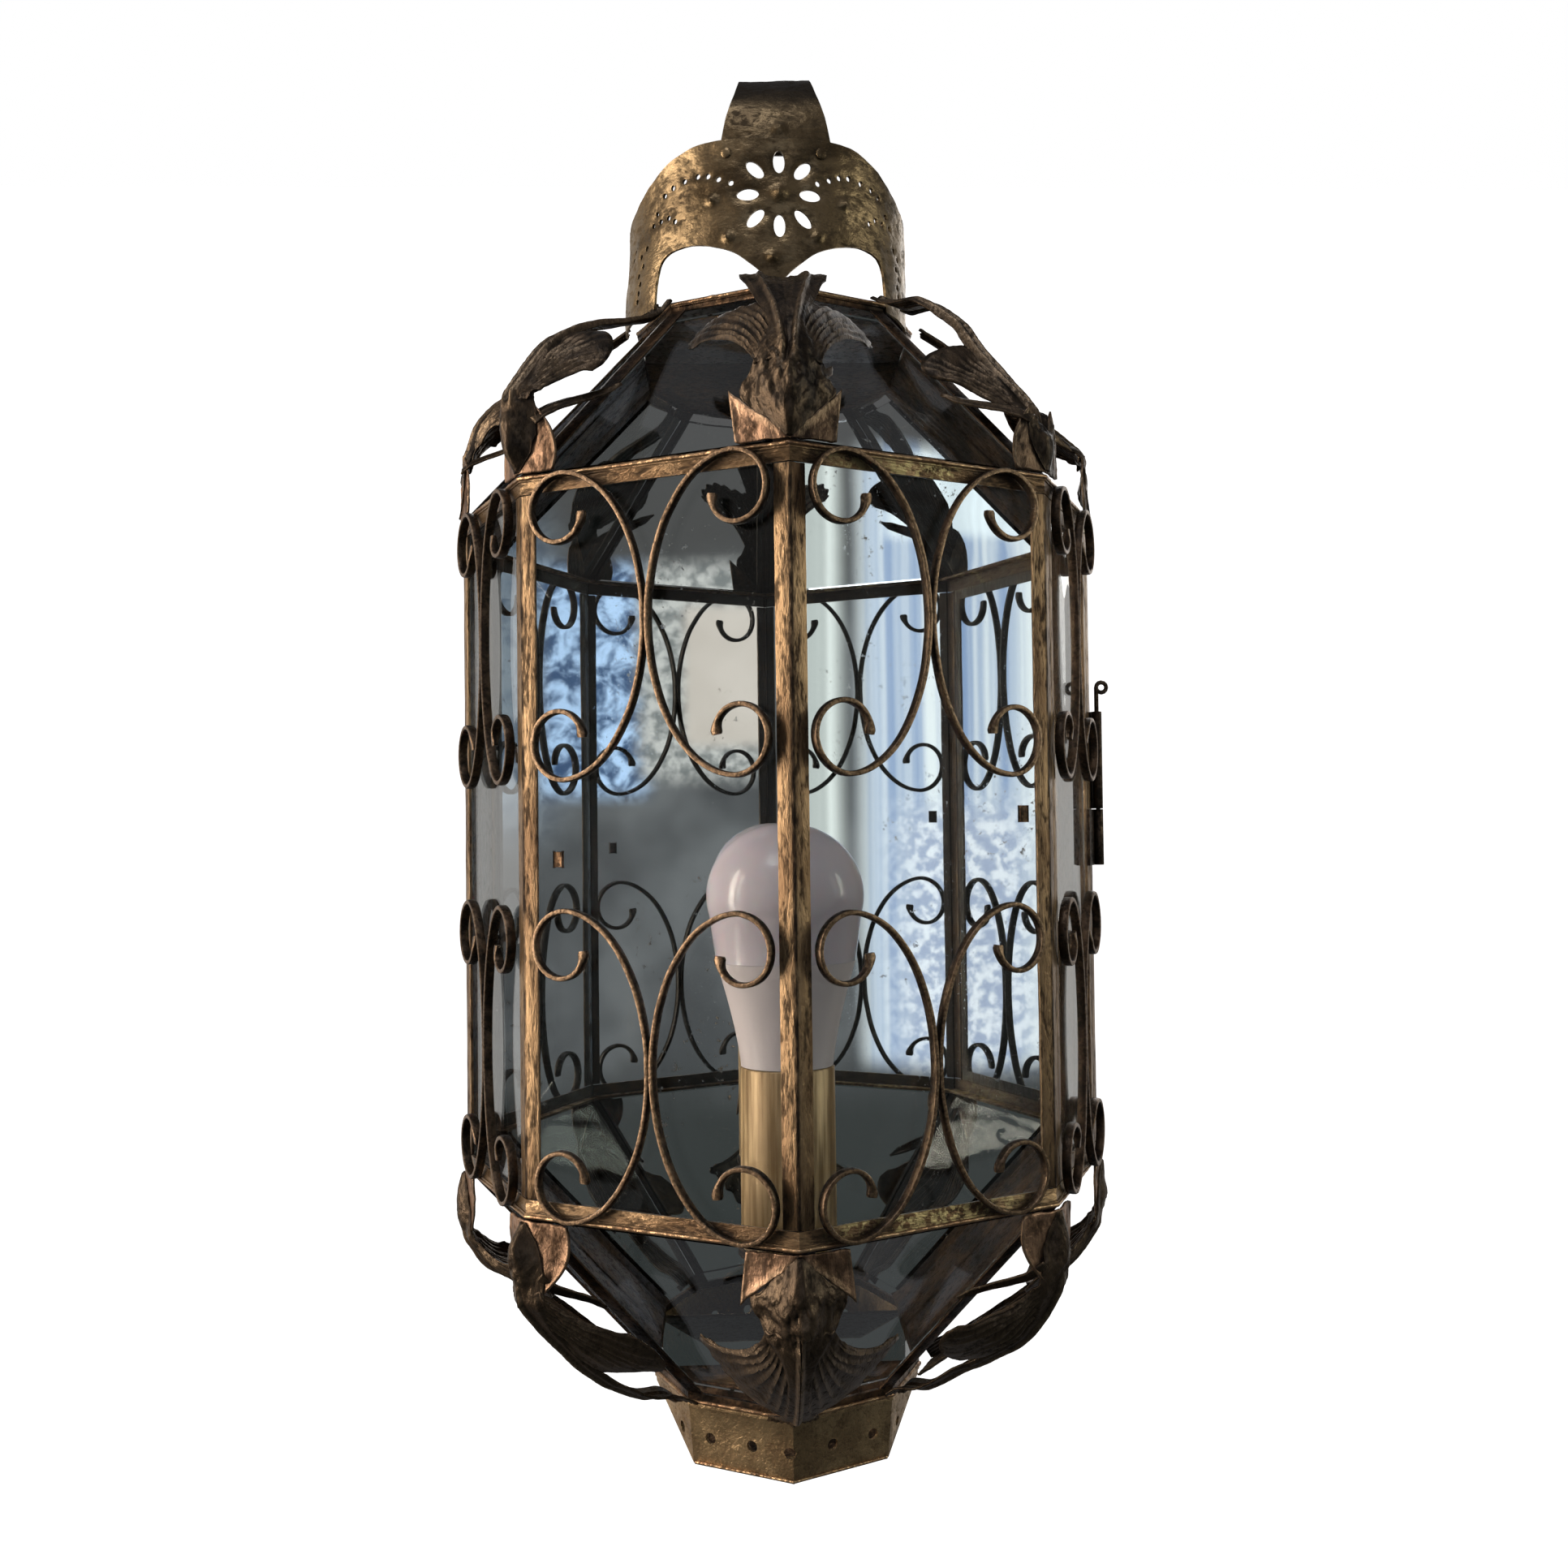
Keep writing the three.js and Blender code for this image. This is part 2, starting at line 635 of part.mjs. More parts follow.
function hinge() {
  const [x, y] = hingeAxis();
  const group = new THREE.Group();
  group.position.set(x, y, 0);
  lantern.add(group);
  const path = planPath(1);
  const ridge = path[RIGHT_BACK];
  const bore = PIN_DIAMETER / 2 + GAP;

  const knuckle = (from, to) => tube(KNUCKLE_RADIUS, bore, from, to, 16);
  // A hinge leaf lies on the face that runs from the ridge towards a point
  const hingeLeaf = (end, width, from, to) => {
    const along = towards([0, 0], [end[0] - ridge[0], end[1] - ridge[1]], 1);
    const side = along[0] * (y - ridge[1]) - along[1] * (x - ridge[0]) > 0 ? 1 : -1;
    const out = [-along[1] * side, along[0] * side];
    const corner = (u, v) => [
      ridge[0] - x + along[0] * u + out[0] * v,
      ridge[1] - y + along[1] * u + out[1] * v,
    ];
    const start = along[0] * (x - ridge[0]) + along[1] * (y - ridge[1]);
    const high = GAP + HINGE_LEAF;
    const sheet = [corner(start, GAP), corner(width, GAP), corner(width, high), corner(start, high)];
    const plate = slab(shapeOf(sheet), to - from, from);
    const clear = rod(bore, from - 1, to + 1);
    return cut(join(knuckle(from, to), plate), [clear]);
  };
  const post = hingeLeaf(path[RIGHT_BACK + 1], FLANGE, HINGE_SPLIT + GAP, HINGE_TOP);
  piece("post_hinge_leaf", post, IRON, group);
  const doorLeaf = hingeLeaf(path[RIGHT_BACK - 1], HINGE_LEAF_WIDTH, HINGE_BOTTOM, HINGE_SPLIT);
  piece("door_hinge_leaf", doorLeaf, IRON, group);
  piece("hinge_pin", hingePin(), IRON, group);
}

// Wire with an eye at its top, bent out to one side
function hingePin() {
  const radius = PIN_DIAMETER / 2;
  const eye = PIN_RING_RADIUS - radius;
  const z = HINGE_TOP + PIN_RISE + PIN_RING_RADIUS;
  const stem = rod(radius, HINGE_BOTTOM, z, 10);
  const ring = new THREE.TorusGeometry(eye, radius, 6, 12).rotateX(Math.PI / 2);
  return join(stem, ring.translate(eye, 0, z));
}

// Leaves

// Outline of a leaf from its foot on the rail to its tip: [share of the length, half width]
const LEAF_OUTLINE = [
  [0, 0.42],
  [0.1, 0.63],
  [0.17, 0.52],
  [0.25, 0.27],
  [0.34, 0.26],
  [0.45, 0.42],
  [0.56, 0.72],
  [0.66, 1],
  [0.74, 0.9],
  [0.81, 0.42],
  [0.88, 0.32],
  [0.95, 0.42],
  [1, 0.5],
];
const LEAF_COLUMNS = 6;

// Half width on one side: less over a narrow face, so that two leaves share it
function leafWidth(path, i, hand, scale) {
  const next = i + hand;
  if (next < 0 || next >= CORNERS.length) return LEAF_WIDTH;
  const [a, b] = [path[i + 1], path[next + 1]];
  const face = Math.hypot(b[0] - a[0], b[1] - a[1]);
  const atLobe = face * (1 + (scale - 1) * LEAF_LOBE);
  return Math.min(LEAF_WIDTH, atLobe / 2 - LEAF_CLEARANCE);
}

// side is 1 for a leaf on the roof and -1 for one on the cone
function leaf(i, side, scale, tipZ, fullBow) {
  const wide = planPath(1);
  const narrow = planPath(scale);
  const foot = new THREE.Vector3(...wide[i + 1], BODY_TOP * side);
  const tip = new THREE.Vector3(...narrow[i + 1], tipZ);
  const chord = tip.clone().sub(foot);
  const plan = new THREE.Vector3(-chord.x, -chord.y, 0).normalize();
  const out = new THREE.Vector3(plan.x * chord.z * side, plan.y * chord.z * side, 0);
  out.z = -plan.dot(chord) * side;
  out.normalize();
  const sides = [-1, 1].map((hand) => {
    const next = wide[i + 1 + hand];
    return new THREE.Vector3(next[0] - foot.x, next[1] - foot.y, 0).normalize();
  });
  const widths = [-1, 1].map((hand) => leafWidth(wide, i, hand, scale));
  const lift = LEAF_THICKNESS / 2 + 1.5 * (BEAD_PROUD + GAP);
  // Its lower edge stands level with the rail, a gap in front of it
  foot.z -= out.z * (lift - LEAF_THICKNESS / 2);
  const rings = LEAF_OUTLINE.map(([s, share]) => {
    const bow = fullBow * Math.sin(Math.PI * s ** 0.8);
    const lobe = THREE.MathUtils.smoothstep(s, LEAF_LOBE_FROM, 0.6) *
      (1 - THREE.MathUtils.smoothstep(s, 0.7, LEAF_LOBE_TO));
    const centre = foot.clone().addScaledVector(chord, s).addScaledVector(out, bow + lift);
    const front = [];
    const rear = [];
    for (let k = -LEAF_COLUMNS / 2; k <= LEAF_COLUMNS / 2; k++) {
      const t = (2 * k) / LEAF_COLUMNS;
      const across = Math.abs(t) * share * widths[t < 0 ? 0 : 1];
      const rib = LEAF_RIDGE * Math.max(0, 1 - 3 * Math.abs(t)) * Math.min(1, 5 * s);
      const droop = LEAF_DROOP * lobe * t * t;
      const point = centre.clone();
      point.addScaledVector(sides[t < 0 ? 0 : 1], across);
      point.addScaledVector(out, rib - droop * 0.6);
      point.addScaledVector(chord, (-droop * 0.8) / chord.length());
      const half = out.clone().multiplyScalar(LEAF_THICKNESS / 2);
      front.push(point.clone().add(half).toArray());
      rear.unshift(point.clone().sub(half).toArray());
    }
    return [...front, ...rear];
  });
  return skin(rings, rings[0]);
}

function leaves() {
  CORNERS.forEach(([name], i) => {
    const upper = leaf(i, 1, TOP_SCALE, ROOF_TOP - LEAF_TIP_DROP, UPPER_LEAF_BOWS[i]);
    piece(`leaf_upper_${name}`, upper, DARK_GILT);
    const lower = leaf(i, -1, COLLAR_SCALE, CONE_END + LEAF_TIP_DROP, LOWER_LEAF_BOWS[i]);
    piece(`leaf_lower_${name}`, lower, DARK_GILT);
  });
}

// Crown and strap, drawn round the vertical line over the middle of the rear posts' plane.
// An angle is in degrees from the front, a height is over the top ring.

const radians = THREE.MathUtils.degToRad;

function onCrown(radius, degrees, z) {
  const angle = radians(degrees);
  return [radius * Math.sin(angle), -radius * Math.cos(angle), z];
}

function crownTop(degrees) {
  const shoulder = Math.max(0, (Math.abs(degrees) - 28) / 62);
  return CROWN_HEIGHT - CROWN_SHOULDER_DROP * shoulder ** 1.3;
}

// Two arches between the legs and a point in the middle that stands on the ring
function crownFoot(degrees) {
  const q = Math.abs(degrees) / CROWN_LEG_ANGLE;
  if (q >= 1) return 0;
  if (q < 0.6) return CROWN_ARCH * Math.sin((Math.PI / 2) * (q / 0.6)) ** 1.3;
  return CROWN_ARCH * Math.sqrt(1 - ((q - 0.6) / 0.4) ** 2);
}

function crownBand() {
  const STEPS = 16;
  const angles = [];
  for (let k = 0; k <= STEPS; k++) angles.push((CROWN_LEG_ANGLE * k) / STEPS);
  angles.push(CROWN_LEG_ANGLE + 0.01);
  for (let k = 1; k <= 6; k++) angles.push(CROWN_LEG_ANGLE + ((90 - CROWN_LEG_ANGLE) * k) / 6);
  const both = [...angles.slice(1).map((a) => -a).reverse(), ...angles];
  const rings = both.map((angle) => {
    const low = crownFoot(angle) + GAP;
    const high = crownTop(angle);
    const inner = CROWN_RADIUS - SHEET;
    return [
      onCrown(inner, angle, low),
      onCrown(CROWN_RADIUS, angle, low),
      onCrown(CROWN_RADIUS, angle, high),
      onCrown(inner, angle, high),
    ];
  });
  return skin(rings, [[0, 0], [1, 0], [1, 1], [0, 1]]);
}

// A punch that pierces crown and strap: an outline of [along, up] round an angle and a height
function punch(degrees, z, outline) {
  const reach = [CROWN_RADIUS - 6, CROWN_RADIUS + 3];
  const rings = reach.map((radius) =>
    outline.map(([along, up]) => {
      const turn = THREE.MathUtils.radToDeg(along / CROWN_RADIUS);
      return onCrown(radius, degrees + turn, z + up);
    }),
  );
  return skin(rings, outline);
}

function ellipse(a, b, tilt, sides) {
  const points = [];
  for (let k = 0; k < sides; k++) {
    const t = (2 * Math.PI * k) / sides;
    const x = a * Math.cos(t);
    const y = b * Math.sin(t);
    points.push([x * Math.cos(tilt) - y * Math.sin(tilt), x * Math.sin(tilt) + y * Math.cos(tilt)]);
  }
  return points;
}

// Places of the small holes on one side of the crown: [angle, height]
const ARC_DOTS = [16, 21, 26, 31, 36, 41.5, 47].map((a) => [a, 42 - 0.0105 * (a - 24) ** 2]);
const CLUSTER_DOTS = [[42, 30], [46, 31.5], [53, 31], [57, 28.5], [58, 33]];
const LEG_DOTS = [24, 20.5, 17, 13.5, 10, 6.5].map((z, k) => [66 + (k % 2 ? 2.4 : -2.4), z]);

function crownPunches() {
  const petals = [];
  for (let k = 0; k < 8; k++) {
    const angle = (Math.PI * k) / 4;
    const petal = ellipse(PETAL_LENGTH / 2, PETAL_WIDTH / 2, angle, 8);
    const along = FLOWER_RADIUS * Math.cos(angle);
    const up = FLOWER_RADIUS * Math.sin(angle);
    petals.push(punch(0, FLOWER_HEIGHT, petal.map(([x, y]) => [x + along, y + up])));
  }
  const dot = ellipse(DOT_DIAMETER / 2, DOT_DIAMETER / 2, 0, 6);
  const dots = [...ARC_DOTS, ...CLUSTER_DOTS, ...LEG_DOTS];
  const both = [...dots, ...dots.map(([a, z]) => [-a, z])];
  return [...petals, ...both.map(([a, z]) => punch(a, z, dot))];
}

function rivetPunches() {
  const hole = ellipse(RIVET_DIAMETER / 2 + GAP, RIVET_DIAMETER / 2 + GAP, 0, 10);
  return [-RIVET_ANGLE, RIVET_ANGLE].map((a) => punch(a, RIVET_HEIGHT, hole));
}

// The strap's middle line: [distance in front of the crown's axis, height], then down the wall
function strapLine() {
  const front = CROWN_RADIUS - SHEET - GAP - SHEET / 2;
  const rear = -BACK_DEPTH + GAP + SHEET / 2;
  const curve = new THREE.CubicBezierCurve(
    new THREE.Vector2(front, CROWN_HEIGHT),
    new THREE.Vector2(front, CROWN_HEIGHT + STRAP_RISE),
    new THREE.Vector2(rear + STRAP_TURN + STRAP_LEVEL, STRAP_TOP),
    new THREE.Vector2(rear + STRAP_TURN, STRAP_TOP),
  );
  const points = [[front, CROWN_HEIGHT - STRAP_LAP]];
  curve.getPoints(12).forEach((p) => points.push([p.x, p.y]));
  for (let k = 1; k <= 4; k++) {
    const angle = (Math.PI / 2) * (k / 4);
    points.push([
      rear + STRAP_TURN * (1 - Math.sin(angle)),
      STRAP_TOP - STRAP_TURN * (1 - Math.cos(angle)),
    ]);
  }
  points.push([rear, STRAP_TOP - STRAP_TAIL]);
  return points;
}

function strap() {
  const COLUMNS = 4;
  const line = strapLine();
  const rings = line.map((point, i) => {
    const direction = outward(line, i);
    const t = Math.min(1, Math.max(0, (i - 1) / 9));
    const width = STRAP_FOOT_WIDTH + (STRAP_TOP_WIDTH - STRAP_FOOT_WIDTH) * t;
    const round = (1 - t) ** 2; // how much it still follows the crown's curve
    const front = [];
    const rear = [];
    for (let k = 0; k <= COLUMNS; k++) {
      const x = width * (k / COLUMNS - 0.5);
      const radius = line[0][0];
      const sag = round * (radius - Math.sqrt(radius * radius - x * x));
      const at = (half) => [x, -(point[0] - direction[0] * half - sag), point[1] - direction[1] * half];
      front.push(at(SHEET / 2));
      rear.unshift(at(-SHEET / 2));
    }
    return [...front, ...rear];
  });
  const nail = rod(NAIL_HOLE / 2, -NAIL_HOLE, NAIL_HOLE, 12).rotateX(Math.PI / 2);
  nail.translate(0, BACK_DEPTH, STRAP_TOP - STRAP_TAIL + NAIL_HOLE * 1.4);
  return cut(skin(rings, rings[0]), [...rivetPunches(), nail]);
}

function rivet() {
  const back = CROWN_RADIUS - 2 * SHEET - GAP;
  const shank = RIVET_DIAMETER / 2;
  const head = RIVET_HEAD / 2;
  const profile = [
    [0, back - 1],
    [head * 0.8, back - 1],
    [head * 0.8, back - GAP],
    [shank, back - GAP],
    [shank, CROWN_RADIUS + GAP],
    [head, CROWN_RADIUS + GAP],
    [head * 0.8, CROWN_RADIUS + 0.9],
    [0, CROWN_RADIUS + 1.3],
  ];
  return turned(profile, 10).rotateX(Math.PI / 2);
}

function crown() {
  const group = new THREE.Group();
  group.position.set(0, -BACK_DEPTH, ROOF_TOP);
  lantern.add(group);
  piece("crown", cut(crownBand(), [...crownPunches(), ...rivetPunches()]), GILT, group);
  piece("hanging_strap", strap(), GILT, group);
  for (const [name, angle] of [["left", -RIVET_ANGLE], ["right", RIVET_ANGLE]]) {
    const mesh = piece(`strap_rivet_${name}`, rivet(), IRON, group);
    mesh.rotation.z = radians(angle);
    mesh.position.z = RIVET_HEIGHT;
  }
}

// Lamp

function bracket() {
  const face = -(MIRROR_FRONT + GAP);
  const arm = new THREE.Shape();
  const half = ARM_WIDTH / 2;
  const turn = Math.asin(half / ARM_DISC);
  arm.moveTo(-half, face);
  arm.lineTo(-half, LAMP_Y + ARM_DISC * Math.cos(turn));
  arm.absarc(0, LAMP_Y, ARM_DISC, Math.PI / 2 + turn, Math.PI / 2 - turn + 2 * Math.PI, false);
  arm.lineTo(half, face);
  arm.holes.push(new THREE.Path().absarc(0, LAMP_Y, NIPPLE_RADIUS + GAP, 0, 2 * Math.PI));
  const leg = new THREE.Shape();
  leg.moveTo(-half, SEAT_Z - ARM_THICKNESS);
  leg.lineTo(half, SEAT_Z - ARM_THICKNESS);
  leg.lineTo(half, SEAT_Z + BRACKET_HEIGHT - half);
  leg.absarc(0, SEAT_Z + BRACKET_HEIGHT - half, half, 0, Math.PI, false);
  leg.holes.push(new THREE.Path().absarc(0, RIVET_Z, RIVET_DIAMETER / 2 + GAP, 0, 2 * Math.PI));
  const flat = slab(arm, ARM_THICKNESS, SEAT_Z - ARM_THICKNESS);
  const upright = onWall(leg, -face, -face + ARM_THICKNESS);
  piece("lamp_bracket", join(flat, upright), DARK_GILT);
  const shank = RIVET_DIAMETER / 2;
  const reach = MIRROR_FRONT + GAP + ARM_THICKNESS;
  const profile = [
    [0, GAP],
    [shank, GAP],
    [shank, reach + GAP],
    [2 * shank, reach + GAP],
    [1.6 * shank, reach + 1.2],
    [0, reach + 1.6],
  ];
  const geometry = turned(profile, 12).rotateX(Math.PI / 2).translate(0, 0, RIVET_Z);
  piece("bracket_rivet", geometry, IRON);
}

function lamp() {
  const group = new THREE.Group();
  group.position.set(0, LAMP_Y, SEAT_Z);
  lantern.add(group);
  const sleeveInner = SLEEVE_RADIUS - SLEEVE_WALL;
  piece("candle_sleeve", tube(SLEEVE_RADIUS, sleeveInner, GAP, SLEEVE_HEIGHT), IVORY, group);

  const holder = sleeveInner - 2 * GAP;
  const socket = holder - HOLDER_WALL;
  const holderTop = SLEEVE_HEIGHT - 2;
  const tubeTop = 9;
  const bore = NIPPLE_RADIUS + GAP;
  const shell = [
    [bore, GAP],
    [holder, GAP],
    [holder, holderTop],
    [socket, holderTop],
    [socket, SLEEVE_HEIGHT - SOCKET_DEPTH],
    [0, SLEEVE_HEIGHT - SOCKET_DEPTH],
    [0, tubeTop + GAP],
    [bore, tubeTop + GAP],
    [bore, GAP],
  ];
  piece("lamp_holder", turned(shell), WHITE, group);

  const nutTop = -ARM_THICKNESS - GAP;
  const nutHeight = 4;
  const nutRadius = 8;
  const tubeFoot = nutTop - nutHeight - 2;
  piece("lamp_nipple", tube(NIPPLE_RADIUS, NIPPLE_RADIUS - 1.5, tubeFoot, tubeTop), GILT, group);
  const nut = shapeOf(ellipse(nutRadius, nutRadius, 0, 6));
  nut.holes.push(new THREE.Path().absarc(0, 0, bore, 0, 2 * Math.PI));
  piece("lamp_nut", slab(nut, nutHeight, nutTop - nutHeight), GILT, group);
  bulb(group, socket - GAP);
}

function bulb(group, capRadius) {
  const foot = SLEEVE_HEIGHT + GAP;
  const r = BULB_RADIUS;
  const h = BULB_HEIGHT;
  const base = [
    [0, foot - CAP_HEIGHT],
    [capRadius * 0.45, foot - CAP_HEIGHT],
    [capRadius * 0.9, foot - CAP_HEIGHT + 5],
    [capRadius, foot - CAP_HEIGHT + 7],
    [capRadius, foot],
    [r * 0.58, foot],
    [r * 0.62, foot + h * 0.1],
    [r * 0.7, foot + h * 0.24],
    [r * 0.82, foot + h * 0.36],
    [r * 0.89, foot + h * 0.43],
    [0, foot + h * 0.43],
  ];
  piece("bulb_base", turned(base), WHITE, group);
  const seam = foot + h * 0.43 + GAP;
  const middle = foot + h - r * 0.93;
  const glass = [[0, seam], [r * 0.89, seam]];
  for (const degrees of [-14, 0, 16, 33, 50, 67, 80]) {
    const a = radians(degrees);
    glass.push([r * Math.cos(a), middle + r * 0.93 * Math.sin(a)]);
  }
  glass.push([0, foot + h]);
  piece("bulb_glass", turned(glass), FROSTED, group);
}

rail("upper_rail", 1);
rail("lower_rail", -1);
posts();
roofFrame();
coneFrame();
piercedCollar();
back();
FACES.forEach((_, i) => bodyFace(i));
slopedPanes("roof_pane", 1, BODY_TOP + GAP, TOP_SCALE, ROOF_EAVES);
slopedPanes("cone_pane", COLLAR_SCALE, CONE_EAVES, 1, -BODY_TOP - GAP);
hinge();
leaves();
crown();
bracket();
lamp();

export default lantern;
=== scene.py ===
"""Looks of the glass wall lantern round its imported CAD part. Metres, +Z up, the wall at y = 0."""

import math
from math import cos, pi, radians, sin

import bmesh
import bpy
from mathutils import Matrix, Vector, noise


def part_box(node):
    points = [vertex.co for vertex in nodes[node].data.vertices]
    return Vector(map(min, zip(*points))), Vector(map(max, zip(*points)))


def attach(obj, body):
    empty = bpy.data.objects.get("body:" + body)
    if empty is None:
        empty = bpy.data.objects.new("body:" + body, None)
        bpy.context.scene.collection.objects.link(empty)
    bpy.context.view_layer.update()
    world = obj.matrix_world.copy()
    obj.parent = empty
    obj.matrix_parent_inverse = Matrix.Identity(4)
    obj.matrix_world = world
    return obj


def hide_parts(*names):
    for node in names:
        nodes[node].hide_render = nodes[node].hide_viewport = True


noise.seed_set(7)  # or else noise_vector starts from the clock, and each run differs
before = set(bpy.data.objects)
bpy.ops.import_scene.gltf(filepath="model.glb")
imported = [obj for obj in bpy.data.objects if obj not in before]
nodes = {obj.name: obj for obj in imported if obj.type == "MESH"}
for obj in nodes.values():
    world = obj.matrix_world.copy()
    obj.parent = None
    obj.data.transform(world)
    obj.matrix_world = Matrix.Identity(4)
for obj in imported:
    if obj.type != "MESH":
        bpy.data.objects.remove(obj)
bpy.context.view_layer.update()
scene = bpy.context.scene
MM = 0.001

# Plan and heights that the pieces here share with the part, in millimetres
BACK_DEPTH = 42
CORNERS = {
    "left_back": (-128, 0),
    "left_front": (-94, 79),
    "front": (0, 130),
    "right_front": (94, 79),
    "right_back": (128, 0),
}
CORNER_NAMES = list(CORNERS)
FACES = ["left_side", "front_left", "front_right", "right_side"]
BODY_TOP = 131
ROOF_TOP = 209
CONE_END = -213
HALF_WIDTH = 128
TOP_SCALE = 56 / HALF_WIDTH  # the top ring and the collar's ring, as shares of the body's plan
COLLAR_SCALE = 53 / HALF_WIDTH


def ridge(corner, scale=1.0, z=0.0):
    """A point over a corner of the plan, which the roof and the cone draw in."""
    x, reach = CORNERS[corner]
    return Vector((x * scale, -BACK_DEPTH - reach * scale, z))


# Camera, as fitted to the photo

CAMERA_PLACE = (-20.25, -657.38, 6.83)
CAMERA_TURN = (2.025, 1.477, -0.719)  # yaw, pitch and roll in degrees
PICTURE_WIDTH = 36
FOCAL_LENGTH = PICTURE_WIDTH * 1855.26 / 1932


def photo_camera():
    yaw, pitch, roll = (radians(a) for a in CAMERA_TURN)
    ahead = Vector((sin(yaw) * cos(pitch), cos(yaw) * cos(pitch), sin(pitch)))
    level = Vector((cos(yaw), -sin(yaw), 0))
    upright = level.cross(ahead)
    right = level * cos(roll) + upright * sin(roll)
    up = upright * cos(roll) - level * sin(roll)
    data = bpy.data.cameras.new("photo_camera")
    data.sensor_width = PICTURE_WIDTH
    data.lens = FOCAL_LENGTH
    data.clip_start, data.clip_end = 0.02, 50
    camera = bpy.data.objects.new("photo_camera", data)
    turn = Matrix((right, up, -ahead)).transposed().to_4x4()
    camera.matrix_world = Matrix.Translation(Vector(CAMERA_PLACE) * MM) @ turn
    scene.collection.objects.link(camera)
    scene.camera = camera


photo_camera()


# Nodes

def fill(tree, made, values):
    """Links the sockets among the values and sets the others. A colour gets its alpha here."""
    for key, value in (values or {}).items():
        socket = made.inputs[key]
        if isinstance(value, bpy.types.NodeSocket):
            tree.links.new(value, socket)
        else:
            socket.default_value = (*value, 1.0) if socket.type == "RGBA" else value
    return made


def node(tree, kind, values=None, **settings):
    made = tree.nodes.new("ShaderNode" + kind)
    for key, value in settings.items():
        setattr(made, key, value)
    return fill(tree, made, values)


def math_node(tree, operation, a, b=0.0, clamp=False):
    return node(tree, "Math", {0: a, 1: b}, operation=operation, use_clamp=clamp).outputs[0]


def times(tree, *factors, clamp=False):
    """The product of all factors, clamped only as a whole."""
    *others, last = factors
    first = times(tree, *others) if len(others) > 1 else others[0]
    return math_node(tree, "MULTIPLY", first, last, clamp)


def blend(tree, factor, a, b):
    made = node(tree, "Mix", {0: factor, 6: a, 7: b}, data_type="RGBA")
    made.clamp_factor = True
    return made.outputs[2]


def between(tree, value, low, high, to_low=0.0, to_high=1.0):
    values = {"Value": value, "From Min": low, "From Max": high, "To Min": to_low, "To Max": to_high}
    return node(tree, "MapRange", values, interpolation_type="SMOOTHSTEP").outputs[0]


def object_place(tree, stretch=(1, 1, 1)):
    place = node(tree, "TexCoord").outputs["Object"]
    return node(tree, "Mapping", {"Vector": place, "Scale": stretch}).outputs[0]


def object_axis(tree, axis):
    return node(tree, "SeparateXYZ", {0: object_place(tree)}).outputs[axis]


def speckle(tree, place, scale, detail=3.0, roughness=0.55, distortion=0.0):
    values = {"Vector": place, "Scale": scale, "Detail": detail, "Roughness": roughness, "Distortion": distortion}
    return node(tree, "TexNoise", values).outputs["Fac"]


def relief(tree, height, distance, strength):
    return node(tree, "Bump", {"Height": height, "Distance": distance, "Strength": strength}).outputs[0]


def new_group(name, inputs, outputs=(("Mask", "Float"),)):
    tree = bpy.data.node_groups.new(name, "ShaderNodeTree")
    for label, kind, value in inputs:
        tree.interface.new_socket(label, in_out="INPUT", socket_type="NodeSocket" + kind).default_value = value
    for label, kind in outputs:
        tree.interface.new_socket(label, in_out="OUTPUT", socket_type="NodeSocket" + kind)
    return tree, tree.nodes.new("NodeGroupInput").outputs, tree.nodes.new("NodeGroupOutput")


def use_group(tree, group, values=None):
    made = tree.nodes.new("ShaderNodeGroup")
    made.node_tree = group
    return fill(tree, made, values).outputs


def worn_edges():
    """Where handling has rubbed the sharp edges bright, broken up by the grain."""
    inputs = [("Radius", "Float", 0.0006), ("Amount", "Float", 1.0), ("Scale", "Float", 260.0)]
    tree, given, result = new_group("worn edges", inputs)
    rounded = node(tree, "Bevel", {"Radius": given["Radius"]}, samples=4).outputs[0]
    true = node(tree, "NewGeometry").outputs["Normal"]
    same = node(tree, "VectorMath", {0: rounded, 1: true}, operation="DOT_PRODUCT").outputs["Value"]
    edge = between(tree, math_node(tree, "SUBTRACT", 1.0, same), 0.01, 0.22)
    grain = between(tree, speckle(tree, object_place(tree), given["Scale"], 4.0), 0.36, 0.62)
    fill(tree, result, {"Mask": times(tree, edge, grain, given["Amount"], clamp=True)})
    return tree


def ridge_seams():
    """The dark line of old solder down each upright ridge of the body."""
    tree, given, result = new_group("ridge seams", [("Width", "Float", 0.0012)])
    flat = node(tree, "VectorMath", {0: node(tree, "TexCoord").outputs["Object"], 1: (1, 1, 0)}, operation="MULTIPLY")
    nearest = 1.0
    for corner in CORNERS:
        ends = {0: flat.outputs[0], 1: ridge(corner) * MM}
        away = node(tree, "VectorMath", ends, operation="DISTANCE").outputs["Value"]
        nearest = math_node(tree, "MINIMUM", away, nearest)
    broken = between(tree, speckle(tree, object_place(tree, (1, 1, 0.3)), 420.0, 3.0), 0.3, 0.6, 0.45, 1.0)
    line = between(tree, nearest, given["Width"], times(tree, given["Width"], 0.35))
    fill(tree, result, {"Mask": times(tree, line, broken)})
    return tree


def inward_shade():
    """The side towards the mirror, darkened as painted shade."""
    tree, given, result = new_group("inner side", [("Amount", "Float", 1.0)])
    facing = node(tree, "SeparateXYZ", {0: node(tree, "TexCoord").outputs["Normal"]}).outputs["Y"]
    fill(tree, result, {"Mask": times(tree, between(tree, facing, 0.1, 0.4), given["Amount"])})
    return tree


